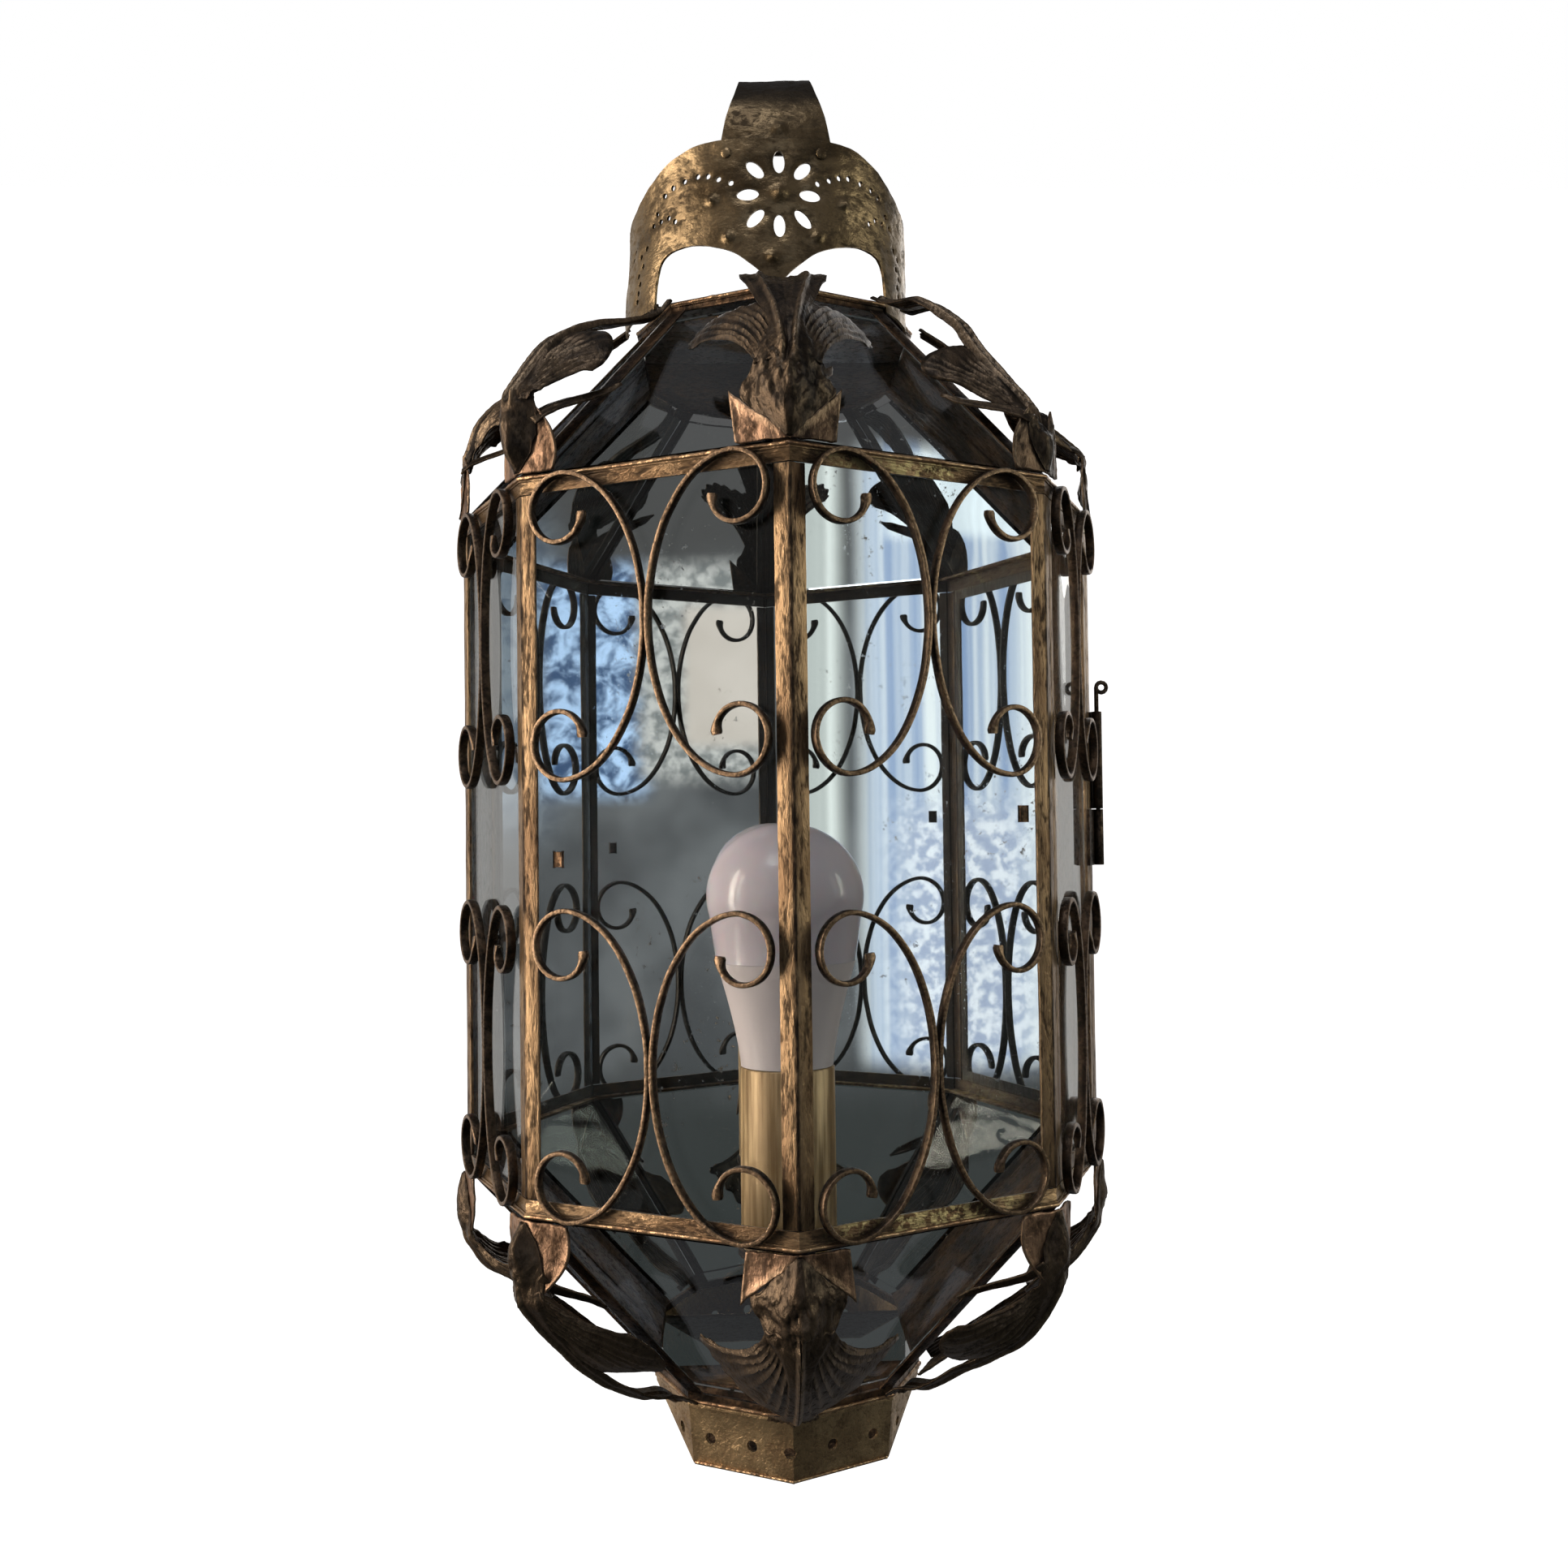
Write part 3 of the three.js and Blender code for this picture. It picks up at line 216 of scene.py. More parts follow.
def grime_and_shade():
    """Grime and painted shade, dark in corners and under overlaps."""
    tree, given, result = new_group("grime_and_shade", [("Reach", "Float", 0.006), ("Amount", "Float", 1.0)])
    occlusion = node(tree, "AmbientOcclusion", {"Distance": given["Reach"]}, samples=6, inside=False)
    near = math_node(tree, "SUBTRACT", 1.0, occlusion.outputs["AO"])
    patches = between(tree, speckle(tree, object_place(tree), 140.0, 3.0), 0.3, 0.65, 0.55, 1.25)
    fill(tree, result, {"Mask": times(tree, near, patches, given["Amount"], clamp=True)})
    return tree


def mottle():
    """The blotches, dark pits and fine streaks of old bronze paint rubbed over brass."""
    tree, given, result = new_group(
        "mottle",
        [("Blotch", "Float", 70.0), ("Grain", "Float", 700.0), ("Stretch", "Vector", (1.0, 1.0, 1.0))],
        [("Blotches", "Float"), ("Grain", "Float"), ("Pits", "Float"), ("Height", "Float")],
    )
    place = node(tree, "TexCoord").outputs["Object"]
    drawn = node(tree, "VectorMath", {0: place, 1: given["Stretch"]}, operation="MULTIPLY").outputs[0]
    large = speckle(tree, drawn, given["Blotch"], 5.0, 0.66, 0.5)
    small = speckle(tree, drawn, given["Grain"], 4.0, 0.7)
    middle = speckle(tree, drawn, times(tree, given["Grain"], 0.36), 3.0, 0.6, 0.6)
    mixed = math_node(tree, "ADD", times(tree, small, 0.45), times(tree, middle, 0.55))
    fill(tree, result, {
        "Blotches": between(tree, large, 0.38, 0.62), "Grain": between(tree, small, 0.3, 0.7),
        "Pits": between(tree, mixed, 0.47, 0.62),
        "Height": math_node(tree, "SUBTRACT", times(tree, large, 0.8), times(tree, mixed, 1.1)),
    })
    return tree


WORN, GRIME_AND_SHADE, MOTTLE, SEAMS, INWARD_SHADE = worn_edges(), grime_and_shade(), mottle(), ridge_seams(), inward_shade()


# Materials

def new_material(name):
    made = bpy.data.materials.new(name)
    made.use_nodes = True
    tree = made.node_tree
    tree.nodes.clear()
    shader = tree.nodes.new("ShaderNodeBsdfPrincipled")
    output = tree.nodes.new("ShaderNodeOutputMaterial")
    tree.links.new(shader.outputs[0], output.inputs[0])
    return made, tree, shader


def old_metal(name, bright, body, dark, rough=(0.34, 0.62), metallic=0.85, blotch=60.0, grain=700.0,
              stretch=(1.0, 1.0, 1.0), wear=0.9, edge=0.0006, grime_and_shade_amount=0.9, reach=0.006, bump=0.0005, pits=0.7,
              crest_wear_and_highlight=0.0, plate=None, lit=None, seams=0.0, right_pale_spots=None, shade_over=None):
    """Bronze paint over brass: bright where rubbed and, on marked crests, painted as highlights; brown in the blotches,
    black in the pits, and dark in corners as grime and painted shade.
    """
    made, tree, shader = new_material(name)
    marks = use_group(tree, MOTTLE, {"Blotch": blotch, "Grain": grain, "Stretch": stretch})
    worn = use_group(tree, WORN, {"Radius": edge, "Amount": wear})["Mask"]
    if crest_wear_and_highlight:  # the crests that the mesh marks, rubbed bright and painted as highlights
        crest = node(tree, "Attribute", attribute_name="ridge").outputs["Fac"]
        crest = times(tree, crest, between(tree, marks["Grain"], 0.1, 0.8, 1.0, 0.4))
        worn = math_node(tree, "MAXIMUM", worn, times(tree, crest, crest_wear_and_highlight), True)
    grime_and_shade_mask = use_group(tree, GRIME_AND_SHADE, {"Reach": reach, "Amount": grime_and_shade_amount})["Mask"]
    colour = blend(tree, marks["Blotches"], body, bright)
    if plate:  # the flat wings of the leaves, coppery, with painted shade on the right above, and the leaf lighter towards the bottom
        flat = node(tree, "Attribute", attribute_name="plate").outputs["Fac"]
        x, z = object_axis(tree, "X"), object_axis(tree, "Z")
        shaded = times(tree, between(tree, x, 0.0, 0.004, 0.0, 0.8), between(tree, z, 0.0, 0.01))
        flat = times(tree, flat, math_node(tree, "SUBTRACT", 1.0, shaded))
        colour = blend(tree, between(tree, z, -0.12, -0.16, 0.0, 0.5), colour, [1.7 * c for c in bright])
        colour = blend(tree, flat, colour, blend(tree, marks["Blotches"], *plate))
    colour = blend(tree, times(tree, marks["Pits"], pits), colour, dark)
    if right_pale_spots:  # pale gold spots on the right half
        spots = between(tree, speckle(tree, object_place(tree), 330.0, 4.0, 0.7), 0.46, 0.58)
        zone = between(tree, speckle(tree, object_place(tree), 26.0, 2.0), 0.42, 0.56)
        right = between(tree, object_axis(tree, "X"), 0.004, 0.02)
        colour = blend(tree, times(tree, right, zone, spots), colour, right_pale_spots)
    colour = blend(tree, worn, colour, lit or [min(1.0, c * 1.35) for c in bright])
    if seams:
        colour = blend(tree, times(tree, use_group(tree, SEAMS)["Mask"], seams), colour, dark)
    if shade_over:  # a height above which the sheet is painted darker, as shade
        painted_top_shade = between(tree, object_axis(tree, "Z"), shade_over, shade_over + 0.012, 0.0, 0.85)
        colour = blend(tree, painted_top_shade, colour, dark)
    # grime and painted shade, dark in corners and under overlaps
    colour = blend(tree, grime_and_shade_mask, colour, dark)
    shine = math_node(tree, "SUBTRACT", marks["Pits"], times(tree, worn, 0.6))
    fill(tree, shader, {
        # painted shade on the faces turned towards the mirror
        "Base Color": blend(tree, use_group(tree, INWARD_SHADE, {"Amount": 0.85})["Mask"], colour, dark),
        "Roughness": between(tree, shine, 0.0, 1.0, *rough),
        "Metallic": between(tree, grime_and_shade_mask, 0.0, 1.0, metallic, 0.35),
        "Normal": relief(tree, marks["Height"], bump, 0.9),
    })
    return made


def pane_glass():
    """Old window glass, slightly grey, with faint vertical draw lines and dust, and open to the lamps' rays."""
    made, tree, shader = new_material("clear_pane_glass")
    dust = speckle(tree, object_place(tree), 900.0, 2.0)
    film = speckle(tree, object_place(tree, (1, 1, 0.12)), 60.0, 3.0)
    draw_lines = speckle(tree, object_place(tree, (1, 1, 0.25)), 22.0, 1.0)
    fill(tree, shader, {
        "Base Color": (0.93, 0.955, 0.95), "Transmission Weight": 1.0, "IOR": 1.48,
        "Roughness": times(tree, between(tree, dust, 0.62, 0.75, 0.0, 0.22), between(tree, film, 0.45, 0.7)),
        # painted shade: the same mask dims the tint of reflections on the panes' inward faces
        "Specular Tint": between(tree, use_group(tree, INWARD_SHADE)["Mask"], 0.0, 0.6, 1.0, 0.12),
        "Normal": relief(tree, draw_lines, 0.0012, 0.22),
    })
    clear = node(tree, "BsdfTransparent", {"Color": (0.92, 0.92, 0.92)}).outputs[0]
    shadow = node(tree, "LightPath").outputs["Is Shadow Ray"]
    mix = node(tree, "MixShader", {0: shadow, 1: shader.outputs[0], 2: clear}).outputs[0]
    fill(tree, next(n for n in tree.nodes if n.type == "OUTPUT_MATERIAL"), {0: mix})
    return made


def silvered_glass():
    """Mirror with faint foxing in scattered patches."""
    made, tree, shader = new_material("silvered_mirror")
    spots = between(tree, speckle(tree, object_place(tree), 210.0, 5.0, 0.7), 0.58, 0.68)
    foxed = times(tree, spots, between(tree, speckle(tree, object_place(tree), 16.0, 3.0), 0.5, 0.62))
    fill(tree, shader, {
        "Base Color": blend(tree, foxed, (0.80, 0.83, 0.85), (0.34, 0.31, 0.27)), "Metallic": 1.0,
        "Roughness": between(tree, foxed, 0.0, 1.0, 0.015, 0.35),
    })
    return made


def frosted_glass():
    made, tree, shader = new_material("frosted_bulb_glass")
    cloud = speckle(tree, object_place(tree), 45.0, 2.0)
    fill(tree, shader, {
        "Base Color": blend(tree, cloud, (0.47, 0.42, 0.49), (0.56, 0.51, 0.56)),
        "Roughness": between(tree, cloud, 0.3, 0.7, 0.2, 0.27),
        "Subsurface Weight": 0.25, "Subsurface Scale": 0.008, "Coat Weight": 0.35, "Coat Roughness": 0.06,
    })
    return made


def moulded_plastic(name, colour, deep, rough):
    made, tree, shader = new_material(name)
    grain = speckle(tree, object_place(tree), 520.0, 3.0)
    cloud = speckle(tree, object_place(tree), 60.0, 2.0)
    fill(tree, shader, {
        "Base Color": blend(tree, cloud, colour, deep),
        "Roughness": between(tree, grain, 0.3, 0.7, rough - 0.06, rough + 0.08),
        "Normal": relief(tree, grain, 0.00012, 0.6),
    })
    return made


def gilded_sleeve():
    """Candle sleeve in dull gold, streaked from top to bottom."""
    made, tree, shader = new_material("gold_candle_sleeve")
    streak = speckle(tree, object_place(tree, (1, 1, 0.05)), 420.0, 3.0)
    cloud = speckle(tree, object_place(tree, (1, 1, 0.3)), 60.0, 3.0)
    gold = blend(tree, between(tree, streak, 0.35, 0.65), (0.26, 0.165, 0.075), (0.56, 0.40, 0.22))
    fill(tree, shader, {
        "Base Color": blend(tree, between(tree, cloud, 0.45, 0.65, 0.0, 0.6), gold, (0.20, 0.12, 0.055)),
        "Metallic": 0.35, "Roughness": between(tree, streak, 0.2, 0.8, 0.3, 0.52),
        "Normal": relief(tree, streak, 0.0002, 0.6),
    })
    return made


GILT_TONES = ((0.41, 0.27, 0.15), (0.19, 0.115, 0.062), (0.018, 0.012, 0.009))
BLACK = (0.006, 0.005, 0.004)
BAR_GILT = old_metal(
    "rubbed_gilt_bars", *GILT_TONES, grain=900.0, stretch=(1.0, 1.0, 0.25), bump=0.0007, pits=0.8, reach=0.007,
    grime_and_shade_amount=1.0, seams=0.95,
)
RAIL_GILT = old_metal(
    "rubbed_gilt_rails", *GILT_TONES, grain=800.0, stretch=(0.3, 0.3, 1.0), bump=0.0008, pits=0.75, grime_and_shade_amount=1.0,
    right_pale_spots=(0.62, 0.50, 0.25),
)
BEAD_GILT = old_metal(
    "rubbed_gilt_beads", (0.60, 0.40, 0.23), (0.36, 0.21, 0.12), (0.03, 0.02, 0.014), rough=(0.28, 0.5),
    blotch=90.0, grain=600.0, wear=0.4, pits=0.55, reach=0.003, grime_and_shade_amount=0.7,
)
SHEET_GILT = old_metal(
    "hammered_gilt_sheet", (0.30, 0.215, 0.12), (0.105, 0.072, 0.038), (0.018, 0.013, 0.009), blotch=40.0,
    grain=620.0, stretch=(0.6, 0.6, 1.0), wear=0.85, reach=0.004, pits=0.6, shade_over=0.274,
)
COLLAR_GILT = old_metal(
    "stippled_gilt_collar", (0.64, 0.44, 0.24), (0.38, 0.25, 0.135), (0.016, 0.011, 0.008), grain=900.0,
    reach=0.003, pits=0.55,
)
DARK_GILT = old_metal("dark_bronze_frame", (0.16, 0.092, 0.05), (0.030, 0.020, 0.014), BLACK, wear=0.5)
LEAF_BRONZE = old_metal(
    "leaf_bronze", (0.090, 0.062, 0.040), (0.022, 0.016, 0.012), BLACK, rough=(0.38, 0.66), blotch=95.0,
    grain=620.0, stretch=(1.0, 1.0, 0.6), wear=0.4, bump=0.0006, grime_and_shade_amount=0.8, reach=0.008, pits=0.6, crest_wear_and_highlight=0.8,
    lit=(0.36, 0.26, 0.17), plate=((0.13, 0.075, 0.045), (0.46, 0.28, 0.18)),
)
SCROLL_IRON = old_metal(
    "bronzed_scroll_iron", (0.088, 0.057, 0.036), (0.028, 0.019, 0.013), BLACK, blotch=120.0, grain=800.0,
    wear=0.35, edge=0.0004, bump=0.0004, grime_and_shade_amount=1.0, reach=0.005, crest_wear_and_highlight=0.85, lit=(0.34, 0.225, 0.14),
)
PLAIN_BRASS = old_metal(
    "plain_brass", (0.70, 0.52, 0.26), (0.52, 0.36, 0.16), (0.10, 0.07, 0.04), rough=(0.25, 0.45),
    metallic=1.0, blotch=70.0, wear=0.5, bump=0.0001, grime_and_shade_amount=0.5,
)
PANE_GLASS = pane_glass()
MIRROR = silvered_glass()
BULB_GLASS = frosted_glass()
WHITE_PLASTIC = moulded_plastic("white_bulb_collar", (0.60, 0.54, 0.565), (0.50, 0.45, 0.475), 0.4)
BLACK_PLASTIC = moulded_plastic("black_lamp_holder", (0.022, 0.021, 0.02), (0.035, 0.033, 0.03), 0.45)
SLEEVE_GOLD = gilded_sleeve()


def dress(names, material):
    """A finish for pieces that stay as the CAD has them."""
    for name in names:
        data = nodes[name].data
        data.materials.clear()
        data.materials.append(material)


dress([n for n in nodes if "pane_" in n], PANE_GLASS)
dress(["mirror"], MIRROR)
dress(["lamp_bracket", "bracket_rivet"], DARK_GILT)
dress(["lamp_nipple", "lamp_nut"], PLAIN_BRASS)
dress(["lamp_holder"], BLACK_PLASTIC)
dress(["hinge_pin"], SCROLL_IRON)


# Making pieces

def finished(name, bm, material, replaces=(), body="frame", sharp=32):
    mesh = bpy.data.meshes.new(name)
    bm.to_mesh(mesh)
    bm.free()
    mesh.materials.append(material)
    mesh.shade_smooth()
    mesh.set_sharp_from_angle(angle=radians(sharp))
    obj = bpy.data.objects.new(name, mesh)
    scene.collection.objects.link(obj)
    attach(obj, body)
    if replaces:
        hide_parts(*replaces)
    return obj


def thickened(obj, thickness):
    wall = obj.modifiers.new("wall", "SOLIDIFY")
    wall.thickness = thickness * MM
    wall.offset = 0
    return obj


def outward(bm):
    bmesh.ops.recalc_face_normals(bm, faces=bm.faces)


def fill_holes(bm, sides):
    bmesh.ops.holes_fill(bm, edges=[e for e in bm.edges if e.is_boundary], sides=sides)


def cut_plane(bm, place, direction, clear=False):
    geom = bm.verts[:] + bm.edges[:] + bm.faces[:]
    bmesh.ops.bisect_plane(bm, geom=geom, dist=1e-7, plane_co=place, plane_no=direction, clear_outer=clear)


def sheet(bm, columns, rows, place):
    """A grid whose points go where place(u, v) says, u and v from 0 to 1, with their ridge and plate marks."""
    layers = [bm.verts.layers.float.get(n) or bm.verts.layers.float.new(n) for n in ("ridge", "plate")]
    for vert in bmesh.ops.create_grid(bm, x_segments=columns, y_segments=rows, size=0.5)["verts"]:
        point, *marks = place(vert.co.x + 0.5, vert.co.y + 0.5)
        vert.co = point * MM
        for layer, mark in zip(layers, marks):
            vert[layer] = mark


def smoothstep(low, high, x):
    t = min(1.0, max(0.0, (x - low) / (high - low)))
    return t * t * (3 - 2 * t)


def straight(points, x):
    """Reads a table of (x, y) with straight lines between its points."""
    for (x0, y0), (x1, y1) in zip(points, points[1:]):
        if x <= x1:
            return y0 + (y1 - y0) * (max(x, x0) - x0) / (x1 - x0)
    return points[-1][1]


def smooth(points, x):
    """Reads a table of (x, y) with a curve without corners."""
    last = len(points) - 1
    x = min(max(x, points[0][0]), points[-1][0])
    k = max(j for j in range(last) if points[j][0] <= x)
    step = points[k + 1][0] - points[k][0]
    w = (x - points[k][0]) / step

    def slope(j):
        low, high = max(0, j - 1), min(last, j + 1)
        return (points[high][1] - points[low][1]) / (points[high][0] - points[low][0]) * step

    y0, y1 = points[k][1], points[k + 1][1]
    return (y0 * (1 + 2 * w) * (1 - w) ** 2 + slope(k) * w * (1 - w) ** 2
            + y1 * w * w * (3 - 2 * w) - slope(k + 1) * w * w * (1 - w))


def wave(x, y, z):
    return noise.noise(Vector((x, y, z)))


def bell(x):
    return math.exp(-(x ** 2))


def worked_copy(name, material, bevel=0.25, uneven=0.12, slices=(), body="frame", shift=(0, 0, 0)):
    """A CAD piece with its edges broken and its lines slightly uneven, as soldered by hand."""
    bm = bmesh.new()
    bm.from_mesh(nodes[name].data)
    bmesh.ops.remove_doubles(bm, verts=bm.verts, dist=2e-6)
    bmesh.ops.dissolve_limit(bm, angle_limit=radians(1), verts=bm.verts, edges=bm.edges)
    for axis, step in slices:
        low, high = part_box(name)
        direction = Vector((0, 0, 0))
        direction[axis] = 1
        count = int((high[axis] - low[axis]) / MM / step)
        for k in range(1, count):
            at = Vector((0, 0, 0))
            at[axis] = low[axis] + (high[axis] - low[axis]) * k / count
            cut_plane(bm, at, direction)
    edges = [e for e in bm.edges if e.is_manifold and e.calc_face_angle(0) > radians(28)]
    bmesh.ops.bevel(
        bm, geom=edges, offset=bevel * MM, offset_type="OFFSET", affect="EDGES", segments=2,
        profile=0.5, material=-1, clamp_overlap=True,
    )
    for vert in bm.verts:
        push = noise.noise_vector(vert.co * 90) * uneven + noise.noise_vector(vert.co * 330) * uneven * 0.5
        vert.co += (push + Vector(shift)) * MM
    return finished(name.replace("_frame", "_bars") + "_worked", bm, material, [name], body)


for corner in CORNERS:
    worked_copy(f"post_{corner}", BAR_GILT, slices=[(2, 6)])
for rail in ("upper_rail", "lower_rail"):
    worked_copy(rail, RAIL_GILT, slices=[(0, 6), (1, 8)])
for ribs in ("roof_frame", "cone_frame"):
    worked_copy(ribs, DARK_GILT, slices=[(2, 6)])
worked_copy("door_frame", BAR_GILT, slices=[(2, 6)], body="door")
for half, body in (("post", "frame"), ("door", "door")):
    worked_copy(f"{half}_hinge_leaf", SCROLL_IRON, bevel=0.15, uneven=0.05, body=body)
for rivet in ("strap_rivet_left", "strap_rivet_right"):
    worked_copy(rivet, SHEET_GILT, bevel=0.2, uneven=0.05, shift=(-1.3, 0.3, 1.5))


# Beads and tabs

def bead(name, scale, z, radius, out, start=0.0):
    """A wire soldered round an edge of the body, from one rear post round to the other."""
    corners = [ridge(corner, scale) for corner in CORNERS]
    lengths = [(b - a).length for a, b in zip(corners, corners[1:])]
    total = sum(lengths)
    bend = 1.5  # how near a corner the wire begins to turn

    def place(u, v):
        run = start + u * (total - 2 * start)
        k = 0
        while k < 3 and run > lengths[k]:
            run -= lengths[k]
            k += 1
        ahead = (corners[k + 1] - corners[k]).normalized()
        normal = Vector((ahead.y, -ahead.x, 0))
        for j, rest in ((k - 1, run), (k + 1, lengths[k] - run)):
            if 0 <= j <= 3 and rest < bend:
                other = (corners[j + 1] - corners[j]).normalized()
                normal += Vector((other.y, -other.x, 0)) * (1 - rest / bend)
        normal.normalize()
        lump = wave(u * total * 0.06, z, 1.0) + 0.6 * wave(u * total * 0.4, z, 4.0)
        spin = 2 * pi * v
        thick = radius * (1 + 0.22 * lump)
        middle = corners[k] + ahead * run + normal * (out + 0.15 * lump)
        return middle + normal * thick * cos(spin) + Vector((0, 0, z + thick * sin(spin) + 0.2 * lump)), 0.0

    bm = bmesh.new()
    sheet(bm, int(total * 1.2), 8, place)
    bmesh.ops.remove_doubles(bm, verts=bm.verts, dist=2e-6)
    fill_holes(bm, 10)
    outward(bm)
    finished(name, bm, BEAD_GILT, sharp=60)


bead("upper_rail_bead", 1.0, BODY_TOP - 0.7, 0.85, 0.35, start=3)
bead("lower_rail_bead", 1.0, -BODY_TOP + 0.7, 0.85, 0.35, start=3)
bead("top_ring_bead", TOP_SCALE, ROOF_TOP - 0.8, 0.8, 0.2)
bead("collar_bead", COLLAR_SCALE, CONE_END - 0.2, 0.9, 0.35)
bead("collar_foot_bead", COLLAR_SCALE, CONE_END - 24.3, 0.7, -1.9, start=37)


def glass_tab(name, first, along, z):
    """A blackened tab bent over the edge of a front pane, so far from its outer post."""
    here = ridge(first, z=z)
    ahead = (ridge("front", z=z) - here).normalized()
    out = Vector((ahead.y, -ahead.x, 0))
    if out.y > 0:
        out = -out
    bm = bmesh.new()
    for vert in bmesh.ops.create_cube(bm, size=1)["verts"]:
        x, y, up = vert.co
        vert.co = (here + ahead * (along + x * 3.6) + out * (y - 0.9) + Vector((0, 0, up * 5.4))) * MM
    bmesh.ops.bevel(bm, geom=bm.edges[:], offset=0.3 * MM, affect="EDGES", segments=2, profile=0.5)
    outward(bm)
    finished(name, bm, DARK_GILT)


glass_tab("glass_tab_left", "left_front", 14.5, -5)
glass_tab("glass_tab_right", "right_front", 11.5, 9)


# Scrolls

SCROLL_HEIGHT, SCROLL_CURL = 107, 13.6
SCROLL_HALF = 0.95  # half the strip's width
SCROLL_EDGE = 5.4  # from a ridge to the pair's outer edge
PLAIN_BACK = 0.52  # the share of each half of a C that is its back, and not its curl


def c_line(width, t, turn, tip):
    """Point, half width and half depth along a C, t from 0 to 1. Its back is on the right."""
    b, a = SCROLL_HEIGHT / 2, width - SCROLL_CURL
    share = abs(t - 0.5) * 2
    if share < PLAIN_BACK:
        angle = pi / 2 * share / PLAIN_BACK
        x, y = a * cos(angle), b * sin(angle)
        end = 0.0
    else:
        end = (share - PLAIN_BACK) / (1 - PLAIN_BACK)
        angle = pi / 2 + radians(turn) * end
        radius = SCROLL_CURL + (tip - SCROLL_CURL) * end
        x, y = radius * cos(angle), b - SCROLL_CURL + radius * sin(angle)
    flat = smoothstep(0.86, 1.0, end)
    half = SCROLL_HALF + 1.25 * flat * (1 - 0.45 * smoothstep(0.97, 1.0, end))
    return Vector((x + SCROLL_CURL, -y if t > 0.5 else y)), half, 1.8 - 0.75 * flat


def scroll_pair(face, level):
    index = FACES.index(face)
    a, b = (ridge(corner) for corner in CORNER_NAMES[index:index + 2])
    along = (b - a).normalized()
    out = Vector((along.y, -along.x, 0))
    edge = (b - a).length / 2 - SCROLL_EDGE
    width = edge - SCROLL_HALF + 0.15
    centre = (BODY_TOP - SCROLL_HEIGHT / 2 - 1.3) * (1 if level == "upper" else -1)
    bm = bmesh.new()
    around = 12
    for hand in (-1, 1):
        seed = Vector((index * 7.3, hand * 3.1, centre))
        turns = [268 + 16 * noise.noise(seed * k) for k in (1.7, 2.9)]
        tips = [8.4 + 2.4 * noise.noise(seed * k) for k in (3.3, 0.7)]

        def place(u, v):
            k = 1 if u > 0.5 else 0
            here, half, deep = c_line(width, u, turns[k], tips[k])
            ahead = c_line(width, min(1.0, u + 0.002), turns[k], tips[k])[0]
            behind = c_line(width, max(0.0, u - 0.002), turns[k], tips[k])[0]
            run = (ahead - behind).normalized()
            spin = 2 * pi * v
            box = [math.copysign(abs(f) ** 0.55, f) for f in (cos(spin), sin(spin))]
            wobble = 0.22 * wave(here.x * 0.09, here.y * 0.09, hand * 5.0 + index)
            flat = here + Vector((run.y, -run.x)) * (half * box[0] + wobble)
            point = (a + b) / 2 - along * hand * (edge - flat.x) + out * (2.6 + deep * box[1])
            # the strip's front face gets the ridge mark, which the iron paints as a highlight
            return point + Vector((0, 0, centre + flat.y)), smoothstep(0.72, 0.98, box[1])

        sheet(bm, 150, around, place)
    bmesh.ops.remove_doubles(bm, verts=bm.verts, dist=4e-6)
    fill_holes(bm, around + 2)
    outward(bm)
    body = "door" if face == "right_side" else "frame"
    name = f"scrolls_{level}_{face}"
    finished(name + "_strip", bm, SCROLL_IRON, [name], body, 50)


for face in FACES:
    for level in ("upper", "lower"):
        scroll_pair(face, level)


# Leaves

EDGE_ROUNDING = 6.0  # how softly a leaf bends over its ridge, in square millimetres


def corner_point(index):
    """A corner of the plan, or a point of the side return behind the first or last one."""
    if 0 <= index < len(CORNERS):
        return ridge(CORNER_NAMES[index]).to_2d()
    return Vector((HALF_WIDTH * (-1 if index < 0 else 1), -BACK_DEPTH + 6))


def leaf_seat(corner, side):
    """How a leaf stands on its ridge: a function of across, along and away, and the ridge's length."""
    index = CORNER_NAMES.index(corner)
    scale, height = (TOP_SCALE, ROOF_TOP) if side > 0 else (COLLAR_SCALE, CONE_END)
    foot = ridge(corner, z=BODY_TOP * side)
    chord = ridge(corner, scale, height) - foot
    length = chord.length
    run = chord / length
    plan = Vector((-chord.x, -chord.y, 0)).normalized()
    away = Vector((plan.x * chord.z * side, plan.y * chord.z * side, -plan.dot(chord) * side)).normalized()
    here = corner_point(index)
    faces = [(corner_point(index + hand) - here).normalized().to_3d() for hand in (-1, 1)]

    def place(across, s, h):
        soft = math.sqrt(across * across + EDGE_ROUNDING)
        over = faces[1] * (across + soft) / 2 + faces[0] * (soft - across) / 2
        over -= (faces[0] + faces[1]) * math.sqrt(EDGE_ROUNDING) / 2
        return foot + over + run * s + away * h

    return place, length


WING = (13, 11)  # how far along and away a wing plate's outer corner stands
# Half widths of the middle strand along a leaf, and what its fanned end adds to them
FRONT_TRUNK = [
    (0, 1.0), (6, 10), (11, 18.2), (13, 18), (15, 15.5), (18, 13.6), (21, 11.2), (25, 8.2), (30, 6.0), (38, 4.8),
    (56, 4.7), (66, 5.2),
]
SIDE_TRUNK = [(0, 1.5), (5, 6.5), (10, 8.6), (16, 9.4), (22, 9.2), (27, 7.6), (33, 6.0), (45, 4.8), (66, 4.6)]
FLARE = [(66, 0), (76, 3.0), (86, 6.2), (96, 10.0), (103, 13.2), (112, 14)]
FRONT_FLARE = [(22, 0), (32, 1.8), (42, 4.6), (52, 8.4), (61, 11.8), (70, 12.4), (84, 8), (100, 2)]
TWIN_RIBS = [(0, 2.2), (20, 2.3), (45, 3.0), (66, 3.6)]  # how far to each side an upper leaf's two ribs run
FLUTES = 8  # of a lobe
